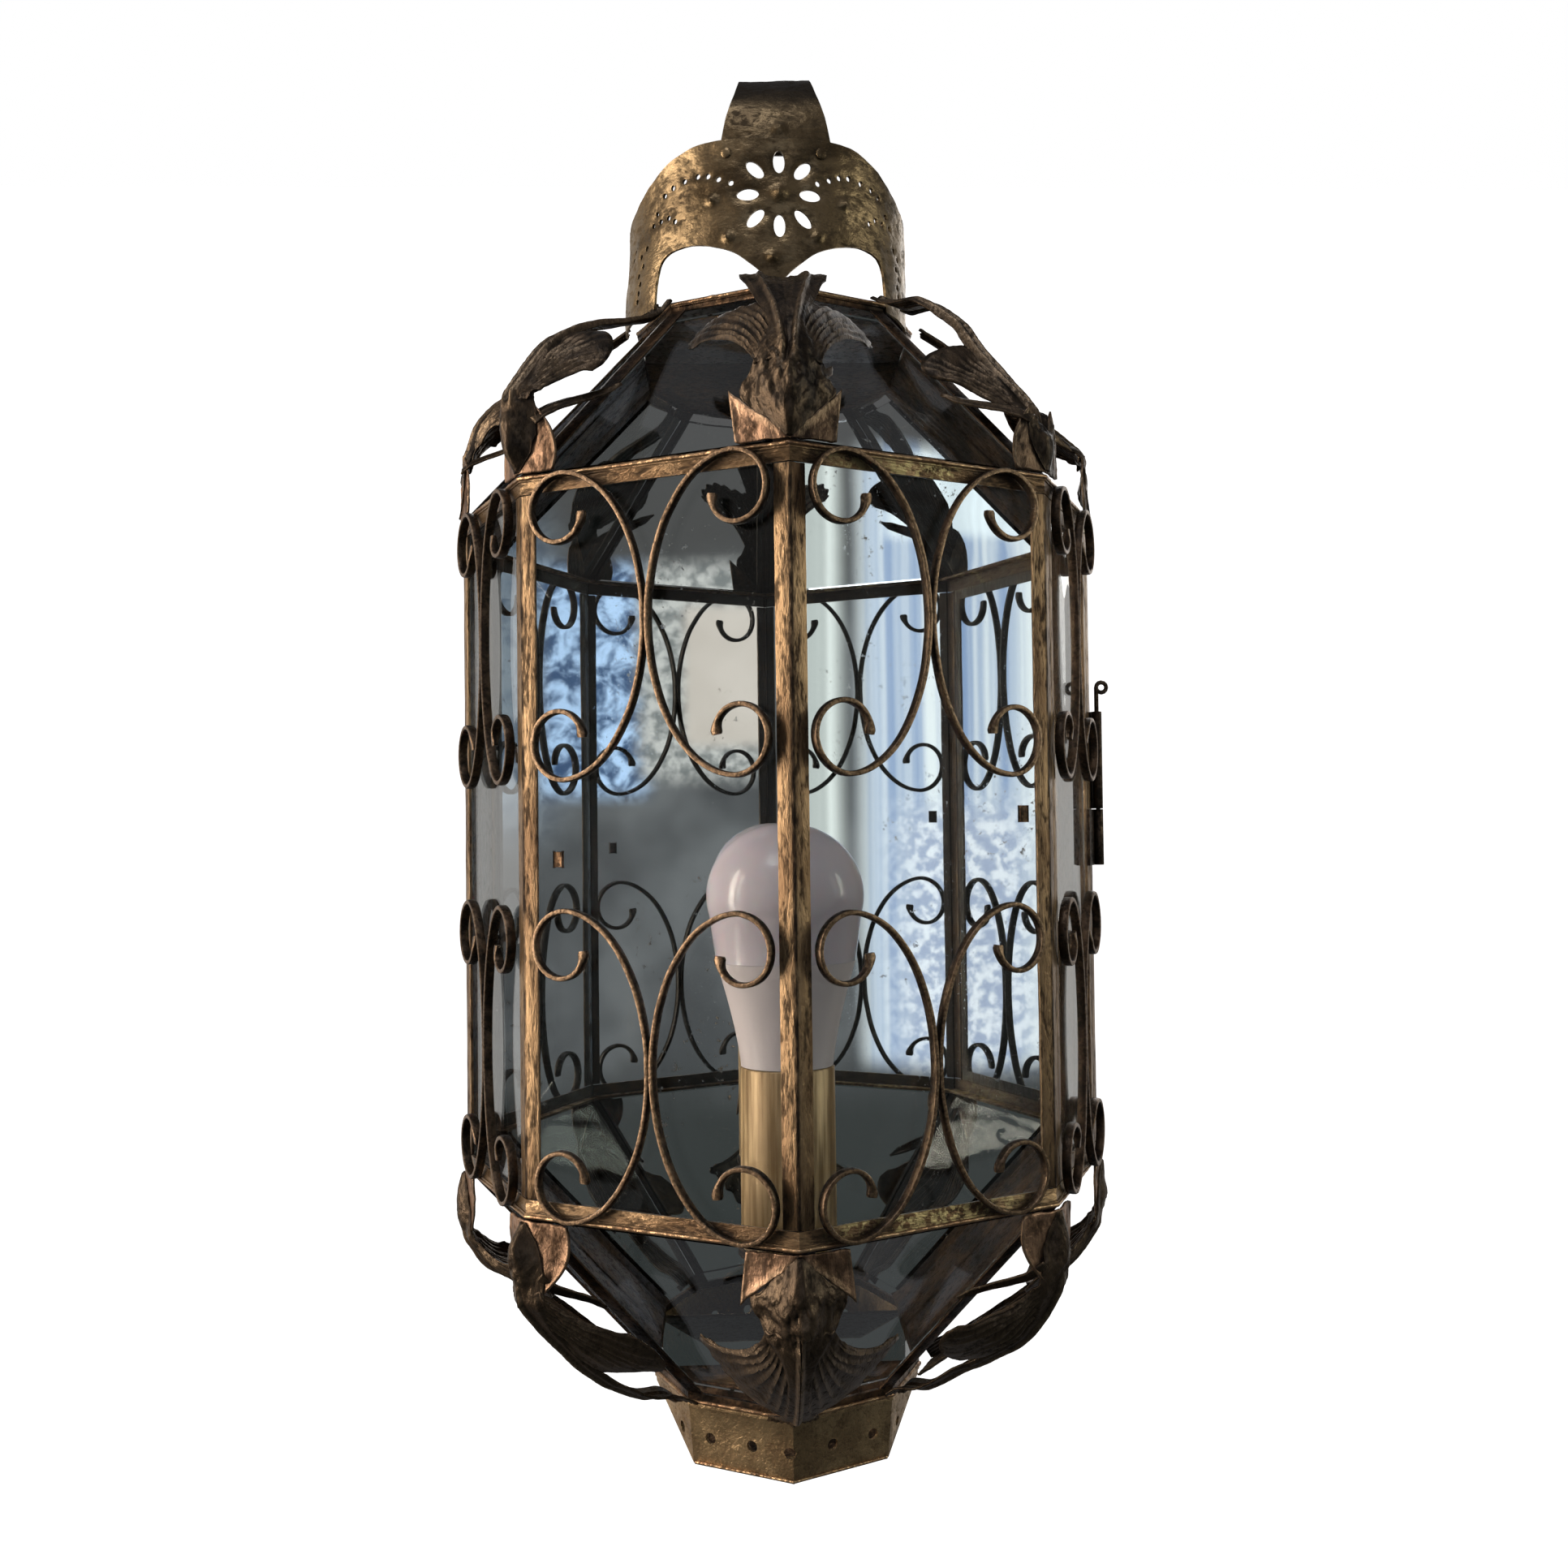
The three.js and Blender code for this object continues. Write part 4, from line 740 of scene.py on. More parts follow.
# Outlines of a lobe in (across, along), from the strand out and round its tip
PALM = [(5.5, 48), (12.5, 49), (21, 53), (28.5, 58), (34.5, 59), (37.8, 55), (36.5, 50)]
PALM_DOWN = [(2, 84), (9, 76), (18, 66), (27, 56), (33, 50.5), (38.5, 46), (35, 43)]
PADDLE = [(3, 59), (8.5, 58.5), (14.5, 56.5), (20, 52), (24, 45.5), (25, 38.5), (23, 33.5)]
SIDE_PADDLE = [(3, 58.5), (9, 58), (16, 56.5), (21, 54.5), (24, 50.5), (23.5, 46), (19.5, 42.5)]
LONG_PADDLE = [(3.5, 63), (12, 62.5), (19.5, 63), (25.5, 64.5), (28.8, 59), (29.2, 50), (26.5, 42.5)]
LOW_PADDLE = [(3, 64), (9.5, 65), (17, 62), (24, 57), (28.3, 51), (29.3, 45.5), (27.5, 41.5)]
# How far each leaf stands away from its ridge along the way, read off its outline in the photo
BOWS = {
    ("left_back", 1): [(0, 2), (8.5, 6.5), (12, 11.5), (28, 20), (38, 22), (47.5, 20.5), (70, 13), (90, 5), (106, 1.5)],
    ("left_front", 1): [(0, 2), (3, 11), (15, 21), (28.5, 23.5), (42.5, 24.5), (55.5, 22), (66.5, 17), (81.5, 7.5),
                        (91, 2.5), (104, 1.8)],
    ("front", 1): [(0, 2), (3, 9), (10, 17), (22, 23.5), (36, 26.5), (50, 26), (65, 22.5), (80, 16), (92, 9),
                   (100, 4.5), (107, 2)],
    ("right_front", 1): [(0, 2), (6, 9.5), (14, 11.5), (24, 13), (38.5, 13.5), (54, 14), (70, 15.5), (87, 12),
                         (95, 5), (104, 1.8)],
    ("right_back", 1): [(0, 2), (9, 4.5), (17, 15), (29, 15), (42.5, 13), (60, 11), (80, 8), (106, 1.5)],
    ("left_back", -1): [(0, 3), (4, 9), (11.5, 15.5), (26, 19.5), (34.5, 19.5), (44.5, 16), (70, 10), (111, 1.5)],
    ("left_front", -1): [(0, 2), (3, 11), (16, 18.5), (21, 21), (43, 21.5), (63, 20), (75.5, 17), (89.5, 11.5),
                         (98, 5), (109, 1.8)],
    ("front", -1): [(0, 2), (3, 9.5), (10, 16.5), (22, 22.5), (36, 25.5), (52, 25), (68, 21.5), (84, 14.5), (98, 7),
                    (112, 2.5)],
    ("right_front", -1): [(0, 2), (8, 12), (21, 19), (33.5, 21.5), (46, 22), (63.5, 17.5), (74.5, 13.5), (93.5, 7.5),
                          (101, 2), (109, 1.5)],
    ("right_back", -1): [(0, 3), (4.5, 7.5), (9, 12.5), (20.5, 17.5), (33, 19.5), (44, 18.5), (70, 13), (90, 8),
                         (111, 1.5)],
}


def along_curve(points, t):
    """A smooth curve through the points, t from 0 to 1."""
    last = len(points) - 1
    k = min(last - 1, int(t * last))
    w = t * last - k
    p = [Vector(points[min(last, max(0, k + j))]) for j in (-1, 0, 1, 2)]
    return 0.5 * (2 * p[1] + (p[2] - p[0]) * w + (2 * p[0] - 5 * p[1] + 4 * p[2] - p[3]) * w * w
                  + (3 * p[1] - p[0] - 3 * p[2] + p[3]) * w ** 3)


def arc(p0, p1, p2, w):
    return p0 * (1 - w) ** 2 + p1 * 2 * w * (1 - w) + p2 * w * w


def leaf(corner, side, flare, wings, lobes, seed):
    """One cut and bent sheet leaf. Wings are half widths; a lobe is (outline, width, droop, small tip)."""
    place, length = leaf_seat(corner, side)
    front = corner == "front"
    widths = FRONT_TRUNK if front else SIDE_TRUNK
    crested = front and side > 0
    opening = FRONT_FLARE if crested else FLARE
    bows = [smooth(BOWS[corner, side], k / 4) for k in range(480)]  # read once, for every quarter millimetre

    def height(s):
        at = min(478.0, max(0.0, s * 4))
        return bows[int(at)] + (bows[int(at) + 1] - bows[int(at)]) * (at - int(at))

    def rough(across, s, scale, shift=0.0):
        return wave(across * scale + seed, s * scale - seed, shift)

    def wing_height(s):
        return 1.0 + s * WING[1] / WING[0]

    def wing(hand, base):
        def at(u, v):
            if front:
                across, s = u * (base + 2.2 * v), v * u * WING[0]
                rim = bell((1 - v) * u * WING[0] / 1.5) * smoothstep(0.05, 0.25, u)
            else:
                across, s = u * base * (1 + 0.14 * sin(pi * v) - 0.5 * v * v), v * (7 + 11 * u)
                rim = 0.3 * smoothstep(0.9, 1.0, v)
            edge = smoothstep(0.9, 1.0, u)
            h = wing_height(s) + rim + 0.5 * edge + 0.5 * rough(hand * across, s, 0.22, 4)
            h += 0.25 * rough(hand * across, s, 0.7, 5)
            # ridge mark: the wing's rims, rubbed bright and painted as highlights
            mark = max(rim, 0.8 * edge) * (0.55 + 0.9 * abs(rough(across, s, 1.1, 6)))
            return place(hand * across, s, h), min(1.0, mark), 1.0

        return at

    def trunk(u, v):
        t = 2 * u - 1
        fluted = sin(4.5 * pi * t)
        ragged = 1.5 * (1 - abs(t)) + 0.9 * fluted ** 2 * (1 - 0.5 * abs(t))
        s = v ** 1.2 * (length - 3 - ragged)
        half = straight(widths, s) + flare * straight(opening, s)
        half *= 1 + (0.02 if crested and s > 40 else 0.06) * wave(s * 0.3, seed, t > 0)
        across = t * half
        down = smoothstep(0.2, 1.0, abs(t)) * smoothstep(25, 12, s)
        h = height(s) * (1 - down) + (wing_height(s) + 0.8) * down
        knot = smoothstep(3, 8, s) * smoothstep(27, 15, s)
        crumple = 3.0 * rough(across, s, 0.17) + 1.9 * rough(across, s, 0.42, 1) + 1.0 * rough(across, s, 1.1, 2)
        h += crumple * knot * (0.75 if front else 0.3)
        share = smoothstep(13, 20, s)
        centre = straight(TWIN_RIBS, s) + flare * straight(opening, s) * 0.5 if side > 0 else 0.3
        rib = bell((abs(across) - centre) / (0.8 + 0.3 * smoothstep(60, 100, s))) * share
        fan = smoothstep(40, 60, s) if crested else smoothstep(66, 92, s)
        flutes = (1 - abs(fluted)) ** 2
        h += 1.5 * rib - 0.9 * share * max(0.0, 1 - abs(across) / centre)
        h += (0.3 if crested else 0.9 * flare) * flutes * fan
        h += 0.3 * rough(across, s, 0.12, 3) + 0.15 * rough(across, s, 0.6, 8)
        h += 0.2 * abs(across) * smoothstep(40, 62, s) * smoothstep(90, 72, s) if crested else 0.0
        h -= 1.2 * smoothstep(0.75, 1.0, abs(t)) * share * (1 - fan)
        # ridge mark: ribs, flutes and crumple crests, rubbed bright and painted as highlights
        mark = max(0.95 * rib * (1 - 0.6 * fan), 0.3 * fan * flutes, 0.35 * knot * max(0.0, crumple) / 3)
        return place(across, s, h), min(1.0, mark), 0.0

    def lobe(hand, outline, width, droop):
        """A fan of flutes from the knot out to its outline."""
        roots = Vector((1.6, 17)), Vector((12.4 if front else 8.6, 17))
        bends = Vector((2.4, 36)), Vector(((15.5 if front else 13.5) * width, 28.5 if front else 26.5))
        shift = wave(seed, hand, 0.3)

        def at(u, v):
            outer = along_curve(outline, v)
            outer.x *= width
            outer = outer * (1 + 0.015 * sin(2 * pi * FLUTES * v)) if front else outer
            across, s = arc(roots[0].lerp(roots[1], v), bends[0].lerp(bends[1], v), outer, u)
            grow = smoothstep(0.12, 0.45, u)
            phase = FLUTES * v ** 0.9 + 0.25 + 0.1 * shift + 0.5 * wave(v * 5, u * 2.2, seed + hand)
            crest = (1 - abs(sin(pi * phase))) ** 2
            crest *= 1 - smoothstep(0.02, 0.0, v) - smoothstep(0.98, 1.0, v)
            fade = 1 - 0.9 * smoothstep(0.6, 1.0, u)
            h = height(s) - 0.6 + (1.1 * crest - 0.35) * grow * fade
            h -= droop * (max(0.0, across) / (35 * width)) ** 2.1 + 1.4 * v ** 3 * u + 1.1 * smoothstep(0.9, 1.0, u)
            h += 0.5 * rough(hand * across, s, 0.12, 3 + hand) + 0.12 * rough(hand * across, s, 0.6, 9)
            h += smoothstep(0.55, 0.0, u) * v * 1.6 * rough(across, s, 0.42, 1)
            # ridge mark: the flute crests, rubbed bright and painted as highlights
            mark = crest * grow * (1 - 0.55 * smoothstep(0.55, 1.0, u))
            mark *= 0.55 + 0.8 * abs(rough(across, s, 0.35, hand))
            return place(hand * across, s, max(h, 1.2)), min(1.0, mark), 0.0

        return at

    def small(hand, tip):
        """The narrow lobe between the wing and the big one."""
        across, along, away = tip

        def at(u, v):
            side_step = (v - 0.5) * (6.4 * (1 - u) ** 0.5 + 2.6) * (1 - smoothstep(0.85, 1.0, u) * 0.7)
            middle = arc(Vector((7.5, 13.5)), Vector((across * 0.55, along * 0.62)), Vector((across, along)), u)
            a, s = middle.x + side_step * 0.75, middle.y - side_step * 0.6
            h = wing_height(15) * (1 - u) + away * u + 3.0 * sin(pi * min(1.0, u * 1.1)) * (1 - u)
            aside = abs(2 * v - 1)
            h += 0.9 * (1 - aside) + 0.3 * rough(a, s, 0.4, 7)
            # ridge mark: the small lobe's middle and edges, rubbed bright and painted as highlights
            mark = 0.6 * (1 - aside) ** 3 + 0.3 * smoothstep(0.8, 1.0, aside)
            return place(hand * a, s, max(h, 1.2)), mark, 0.0

        return at

    bm = bmesh.new()
    sheet(bm, 56, 120, trunk)
    for hand, base, (outline, width, droop, tip) in zip((-1, 1), wings, lobes):
        sheet(bm, 26, 18, wing(hand, base))
        sheet(bm, 30, 72, lobe(hand, outline, width, droop))
        if tip:
            sheet(bm, 22, 10, small(hand, tip))
    bmesh.ops.dissolve_degenerate(bm, dist=2e-6, edges=bm.edges)
    outward(bm)
    name = f"leaf_{'upper' if side > 0 else 'lower'}_{corner}"
    thickened(finished(name + "_bent", bm, LEAF_BRONZE, [name], sharp=60), 0.8)


# Flare, half widths of the two wings, and the lobe on each side with its small one, left before right
LEAVES = {
    ("left_back", 1): (0.0, (9, 14), [(PADDLE, 0.8, 6, None), (PADDLE, 0.8, 6, (17, 34, 5))]),
    ("left_front", 1): (0.0, (14, 16), [(PADDLE, 0.95, 9, None), (PADDLE, 1.0, 9, (23, 40, 6))]),
    ("front", 1): (1.0, (20, 18), [(PALM, 1.0, 12, None), (PALM, 0.95, 12, (17, 24, 14))]),
    ("right_front", 1): (0.5, (15, 14), [(SIDE_PADDLE, 1.0, 14, (23, 37, 3)), (PADDLE, 0.85, 7, None)]),
    ("right_back", 1): (0.0, (13, 9), [(PADDLE, 0.75, 6, None), (PADDLE, 0.75, 6, None)]),
    ("left_back", -1): (0.0, (9, 15), [(PADDLE, 0.8, 6, None), (PADDLE, 0.8, 7, None)]),
    ("left_front", -1): (0.3, (14, 19), [(LONG_PADDLE, 0.85, 8, None), (LONG_PADDLE, 1.0, 9, (17, 36, 8))]),
    ("front", -1): (0.4, (19.5, 19), [(PALM_DOWN, 0.98, 12, None), (PALM_DOWN, 1.06, 10, None)]),
    ("right_front", -1): (0.2, (17, 15), [(LOW_PADDLE, 1.0, 9, (23, 38, 5)), (PADDLE, 0.85, 7, None)]),
    ("right_back", -1): (0.9, (14, 9), [(PADDLE, 0.8, 6, None), (PADDLE, 0.8, 6, None)]),
}
for count, ((corner, side), shape) in enumerate(LEAVES.items()):
    leaf(corner, side, *shape, 3.7 * count + 1)


# Collar

COLLAR_HOLES = [  # place in the plan and the way out of each
    (-41.6, -65.4, -0.91, -0.39), (-30.8, -78, -0.47, -0.88), (-15.2, -86.4, -0.47, -0.88), (-1.2, -94.6, 0.0, -1.0),
    (15.2, -86.4, 0.47, -0.88), (31.1, -77.7, 0.47, -0.88), (41.6, -65.4, 0.91, -0.39),
]
COLLAR_HOLE_HEIGHT, COLLAR_HOLE_SIZE = -226.8, 2.2
# Planes, each a place and the direction of what is cut away; the collar's sides rise to the rear
COLLAR_CUT = Vector((0, -73.4, -237.9)), Vector((0, 24.4, -37.4))
RETURN_CUT = Vector((0, 0, CONE_END - 2)), Vector((0, 0, -1))
PLATE_CUTS = [(Vector((sign * 36, 0, -238)), Vector((sign * 26, 0, -20))) for sign in (-1, 1)]
FLOOR_START, FLOOR_RUN = (37, -73.2, -237.4), (15.4, 37.4, 24.2)  # half width, y and z, and their change


def trimmed(obj, cuts):
    """Cuts away what lies on the far side of planes and closes the piece."""
    bm = bmesh.new()
    bm.from_mesh(obj.data)
    for place, direction in cuts:
        cut_plane(bm, place * MM, direction, clear=True)
        fill_holes(bm, 0)
    bmesh.ops.triangulate(bm, faces=bm.faces)
    outward(bm)
    bm.to_mesh(obj.data)
    bm.free()


def hole(sides, a, b, at):
    """A cutter for an oval hole of half sizes a and b: at(x, y, end) is a point of its near or far end."""
    turns = [2 * pi * k / sides for k in range(sides)]
    return [[at(a * cos(t), b * sin(t), end) * MM for end in (0, 1)] for t in turns]


def pierced(obj, cutters):
    """Cuts holes through a piece and keeps the result as its mesh."""
    bm = bmesh.new()
    for ring in cutters:
        count = len(ring)
        made = bmesh.ops.create_cone(bm, cap_ends=True, segments=count, radius1=1, radius2=1, depth=1)["verts"]
        for vert in made:
            turn = math.atan2(vert.co.x, vert.co.y) / (2 * pi)
            vert.co = ring[round(turn * count) % count][1 if vert.co.z > 0 else 0]
    outward(bm)
    mesh = bpy.data.meshes.new("punches")
    bm.to_mesh(mesh)
    bm.free()
    punches = bpy.data.objects.new("punches", mesh)
    scene.collection.objects.link(punches)
    cut = obj.modifiers.new("holes", "BOOLEAN")
    cut.object = punches
    cut.operation = "DIFFERENCE"
    cut.solver = "MANIFOLD"
    bpy.context.view_layer.update()
    done = bpy.data.meshes.new_from_object(obj.evaluated_get(bpy.context.evaluated_depsgraph_get()))
    obj.modifiers.clear()
    obj.data = done
    bpy.data.objects.remove(punches)
    done.shade_smooth()
    done.set_sharp_from_angle(angle=radians(35))


def bent_sheet(name, columns, rows, place, wall, material, replaces=(), sharp=32):
    bm = bmesh.new()
    sheet(bm, columns, rows, place)
    outward(bm)
    return thickened(finished(name, bm, material, replaces, sharp=sharp), wall)


def collar():
    """The sheet below, its sides cut off slanting and its holes punched wide, and the floor that closes the cut."""
    obj = worked_copy("pierced_collar", COLLAR_GILT, bevel=0.12, uneven=0.15)
    trimmed(obj, [COLLAR_CUT])
    cutters = []
    for x, y, nx, ny in COLLAR_HOLES:
        def at(u, v, end):
            rim = Vector((x - ny * u, y + nx * u, COLLAR_HOLE_HEIGHT + v))
            return rim + Vector((nx, ny, 0)) * (-5, 4)[end]

        cutters.append(hole(20, COLLAR_HOLE_SIZE, COLLAR_HOLE_SIZE, at))
    pierced(obj, cutters)

    def place(u, v):
        half = FLOOR_START[0] + FLOOR_RUN[0] * min(1.0, v / 0.85)
        return Vector(((2 * u - 1) * half, FLOOR_START[1] + FLOOR_RUN[1] * v, FLOOR_START[2] + FLOOR_RUN[2] * v)), 0.0

    bent_sheet("collar_sloping_floor", 30, 16, place, 0.6, DARK_GILT, sharp=60)


trimmed(worked_copy("back_plate", DARK_GILT, bevel=0.1, uneven=0.0), PLATE_CUTS)
for hand in ("left", "right"):
    trimmed(worked_copy(f"side_return_{hand}", DARK_GILT, slices=[(2, 12)]), [RETURN_CUT])


# Crown and strap. On the crown, a place is an angle from the front in degrees, or the distance along its curve,
# and a height over the top ring.

CROWN_RADIUS = 56.5
CROWN_SHIFT = -2.6  # it stands a little to the left, and turned
CROWN_TURN = radians(1.5)
FLOWER = (1.7, 34.2)
LEG_ANGLE = 52
ARC_DOTS = [(17, 39), (22, 41), (26.4, 42.8), (30.8, 43.5), (37, 43), (43, 42), (47.6, 40.2)]
CLUSTER_DOTS = [(42, 28.8), (45.5, 31), (50, 30.8), (55, 30.6), (52.5, 34.5)]
LEG_DOTS = [
    (59.5, 23.2), (71, 25.3), (73, 22.7), (63.5, 20.9), (61.5, 16.6), (64.8, 13.6), (62.7, 9.8), (64, 6.5), (65, 3.4),
]
DOTS = [(sign * a, z) for a, z in ARC_DOTS + CLUSTER_DOTS + LEG_DOTS for sign in (-1, 1)]
PETALS = [(k * pi / 4, 13 if k % 2 else 12.1) for k in range(8)]  # turn and distance from the flower's middle
BOSSES = [  # place, width and rise
    (*FLOWER, 3.0, 2.6), (-24.5, 33.4, 2, 1.9), (28.3, 32.6, 2, 1.9), (-18.2, 18.3, 2, 1.9), (16.7, 18.5, 2, 1.9),
    (-1.2, 10, 2.1, 2.0),
]
CROWN_TOP = [(0, 55), (30, 55.4), (45, 52), (53, 48.6), (62, 44.6), (75, 40), (90, 37)]
CROWN_FOOT = [
    (0, 0.3), (3, 1.6), (6.5, 4.9), (11, 8.5), (15.5, 11.8), (20, 13.8), (26, 15.7), (31, 16.8), (36, 17.3),
    (41, 17.1), (45, 16.3), (48, 14.4), (50, 10.8), (51.3, 3.5), (52, -3.5),
]
LEG_FOOT = -3.5


def on_crown(radius, along, z):
    angle = along / CROWN_RADIUS + CROWN_TURN
    radius += 2.2 * smoothstep(-30, -55, math.degrees(angle)) * smoothstep(32, 2, z)
    return Vector((radius * sin(angle) + CROWN_SHIFT, -BACK_DEPTH - radius * cos(angle), ROOF_TOP + z))


def run_to(degrees):
    return radians(degrees) * CROWN_RADIUS


def pressed(along, z):
    """How far hammer and punches have moved the crown's sheet outwards."""
    push = 0.3 * wave(along * 0.16, z * 0.16, 2.0) + 0.12 * wave(along * 0.5, z * 0.5, 7.0)
    for angle, high, width, rise in BOSSES:
        push += rise * math.exp(-((math.hypot(along - run_to(angle), z - high) / width) ** 2) * 1.6)
    for angle, high in DOTS:
        push -= 0.45 * bell(math.hypot(along - run_to(angle), z - high) / 1.5)
    for angle, distance in PETALS:
        x, y = along - FLOWER[0] - distance * cos(angle), z - FLOWER[1] - distance * sin(angle)
        u, v = x * cos(angle) + y * sin(angle), y * cos(angle) - x * sin(angle)
        push -= 0.8 * math.exp(-((u / 5.4) ** 4) - (v / 3.1) ** 4)
    return push


def punch(along, z, a, b, tilt=0.0, sides=14):
    def at(x, y, end):
        u = along + x * cos(tilt) - y * sin(tilt)
        v = z + x * sin(tilt) + y * cos(tilt)
        return on_crown(CROWN_RADIUS + (-8, 5)[end], u, v)

    return hole(sides, a, b, at)


RIVET_ANGLE, RIVET_HEIGHT = 18.5, 50.5
RIVET_HOLES = [punch(run_to(sign * RIVET_ANGLE), RIVET_HEIGHT, 1.4, 1.4) for sign in (-1, 1)]


def crown():
    half = 60  # columns from the front to a leg's edge, closer together towards the edge
    columns = [LEG_ANGLE * sin(pi / 2 * k / half) for k in range(half + 1)]
    columns += [LEG_ANGLE + 0.02] + [LEG_ANGLE + (90 - LEG_ANGLE) * k / 30 for k in range(1, 31)]
    degrees = [-a for a in reversed(columns[1:])] + columns
    count = len(degrees) - 1

    def place(u, v):
        angle = degrees[round(u * count)]
        low = (smooth(CROWN_FOOT, abs(angle)) if abs(angle) < LEG_ANGLE else LEG_FOOT) + 0.3
        high = smooth(CROWN_TOP, abs(angle)) - 1.3 * smoothstep(30, 55, angle)
        z = low + (high - low) * v
        return on_crown(CROWN_RADIUS - 0.6 + pressed(run_to(angle), z), run_to(angle), z), 0.0

    obj = bent_sheet("crown_pressed", count, 56, place, 1.1, SHEET_GILT, ["crown"])
    cutters = []
    for angle, distance in PETALS:
        x, z = FLOWER[0] + distance * cos(angle), FLOWER[1] + distance * sin(angle)
        cutters.append(punch(x, z, 4.3, 2.25, angle, 28))
    pierced(obj, cutters + [punch(run_to(angle), z, 1.05, 1.1) for angle, z in DOTS] + RIVET_HOLES)


# The strap's line: distance in front of the crown's axis, and height over the top ring
STRAP_FRONT = [(0, 54.4), (2.5, 54.3), (8, 53.4), (16, 50.3), (24.5, 44.8), (31, 39), (34, 35.5)]
STRAP_PARTS = (0.36, 0.7, 0.78)  # where the front ends, where the bend to the tail begins and where it ends
STRAP_FOOT, STRAP_TOP, STRAP_REAR = 54, 114.5, -41.1
STRAP_RADIUS = 54.4
STRAP_WIDTH = [(0, 42), (0.13, 37.5), (0.25, 31.5), (0.36, 27.4), (0.6, 28), (1, 29)]
STRAP_LAP = 0.06  # the share of its length that lies in front of the crown's rim
NAIL_HEIGHT, NAIL_SIZE = 99.5, 3.5


def strap_line(t):
    """The strap from the rim's edge to the tail: up the front, over to the rear, round the bend and down."""
    front, bend, tail = STRAP_PARTS
    if t < front:
        up = 34 * t / front
        return Vector((smooth(STRAP_FRONT, up), STRAP_FOOT + 0.955 * up))
    if t < bend:
        w = (t - front) / (bend - front)
        return Vector((35.5, STRAP_FOOT + 32.5)).lerp(Vector((STRAP_REAR + 9, STRAP_TOP - 0.6)), w)
    if t < tail:
        a = pi / 2 * (t - bend) / (tail - bend)
        return Vector((STRAP_REAR + 9 - 9 * sin(a), STRAP_TOP - 9.6 + 9.6 * cos(a)))
    return Vector((STRAP_REAR, STRAP_TOP - 9.6 - 12.9 * (t - tail) / (1 - tail)))


def strap():
    def place(u, v):
        t = max(0.0, (v - STRAP_LAP) / (1 - STRAP_LAP))
        run = (strap_line(min(1, t + 0.003)) - strap_line(max(0, t - 0.003))).normalized()
        x = (u - 0.5) * straight(STRAP_WIDTH, t)
        sag = (1 - smoothstep(0.0, 0.5, t)) ** 2 * (STRAP_RADIUS - math.sqrt(STRAP_RADIUS ** 2 - x * x))
        lump = 0.25 * wave(x * 0.14, v * 11, 4.0) + 0.1 * wave(x * 0.5, v * 40, 1.0)
        lump += 1.5 * bell((x - 1) / 1.9) * bell((t - 0.06) / 0.022)
        lump *= smoothstep(0.0, 0.03, t) * smoothstep(1.0, 0.9, t)
        flat = strap_line(t) + Vector((run.y, -run.x)) * lump
        drop = (2.0 + 7.5 * smoothstep(13, 17.5, abs(x))) * (STRAP_LAP - v) / STRAP_LAP if v < STRAP_LAP else 0.0
        lean = 0.03 * x * smoothstep(0.1, 0.36, t) * smoothstep(0.7, 0.4, t)
        x += (CROWN_SHIFT + 2.2) * (1 - t)
        return Vector((x, -BACK_DEPTH - flat.x + sag, ROOF_TOP + flat.y - drop + lean)), 0.0

    obj = bent_sheet("hanging_strap_bent", 36, 170, place, 1.2, SHEET_GILT, ["hanging_strap"])

    def nail(x, z, end):
        return Vector((x, (-12, 12)[end], ROOF_TOP + NAIL_HEIGHT + z))

    pierced(obj, [hole(24, NAIL_SIZE, NAIL_SIZE, nail)] + RIVET_HOLES)


collar()
crown()
strap()


# Lamp

LAMP_DEPTH = -80
SLEEVE_FOOT, SLEEVE_TOP = -152.7, -85.5
BULB_SEAT, BULB_HEIGHT, BULB_RADIUS = -85.2, 92, 29.8
BULB_SEAM = 0.43  # the share of the bulb that is its white foot
SEAM_RADIUS = BULB_RADIUS * 0.885
CAP_RADIUS = 14.1


def turned(name, profile, material, replaces):
    """A turned piece round the lamp's axis from (radius, height), closed on the axis at both ends or a ring."""
    bm = bmesh.new()
    verts = [bm.verts.new(Vector((r, LAMP_DEPTH, z)) * MM) for r, z in profile]
    edges = [bm.edges.new(pair) for pair in zip(verts, verts[1:])]
    bmesh.ops.spin(
        bm, geom=verts + edges, cent=Vector((0, LAMP_DEPTH, 0)) * MM, axis=(0, 0, 1), angle=2 * pi,
        steps=72, use_merge=True,
    )
    bmesh.ops.remove_doubles(bm, verts=bm.verts, dist=1e-6)
    outward(bm)
    finished(name, bm, material, replaces, sharp=40)


def bulb():
    seat, seam = BULB_SEAT, BULB_SEAT + BULB_HEIGHT * BULB_SEAM
    middle = seat + BULB_HEIGHT - BULB_RADIUS * 0.93
    glass = [(0, seam + 0.05), (SEAM_RADIUS, seam + 0.05)]
    for k in range(40):
        a = radians(-15 + 105 * k / 40)
        glass.append((BULB_RADIUS * cos(a), middle + BULB_RADIUS * 0.93 * sin(a)))
    glass.append((0, seat + BULB_HEIGHT))
    turned("bulb_glass_blown", glass, BULB_GLASS, ["bulb_glass"])
    cap = CAP_RADIUS
    foot = [(0, seat - 25), (cap * 0.45, seat - 25), (cap * 0.9, seat - 20), (cap, seat - 18)]
    for k in range(5):  # the cap's thread
        foot += [(cap, seat - 17 + 3.2 * k), (cap - 0.6, seat - 15.4 + 3.2 * k)]
    foot += [(cap, seat - 1), (cap, seat), (BULB_RADIUS * 0.58, seat)]
    for t in (k / 24 for k in range(1, 24)):
        foot.append((BULB_RADIUS * (0.58 + 0.305 * t ** 1.35), seat + BULB_HEIGHT * BULB_SEAM * t))
    foot += [(SEAM_RADIUS, seam), (0, seam)]
    turned("bulb_collar_moulded", foot, WHITE_PLASTIC, ["bulb_base"])


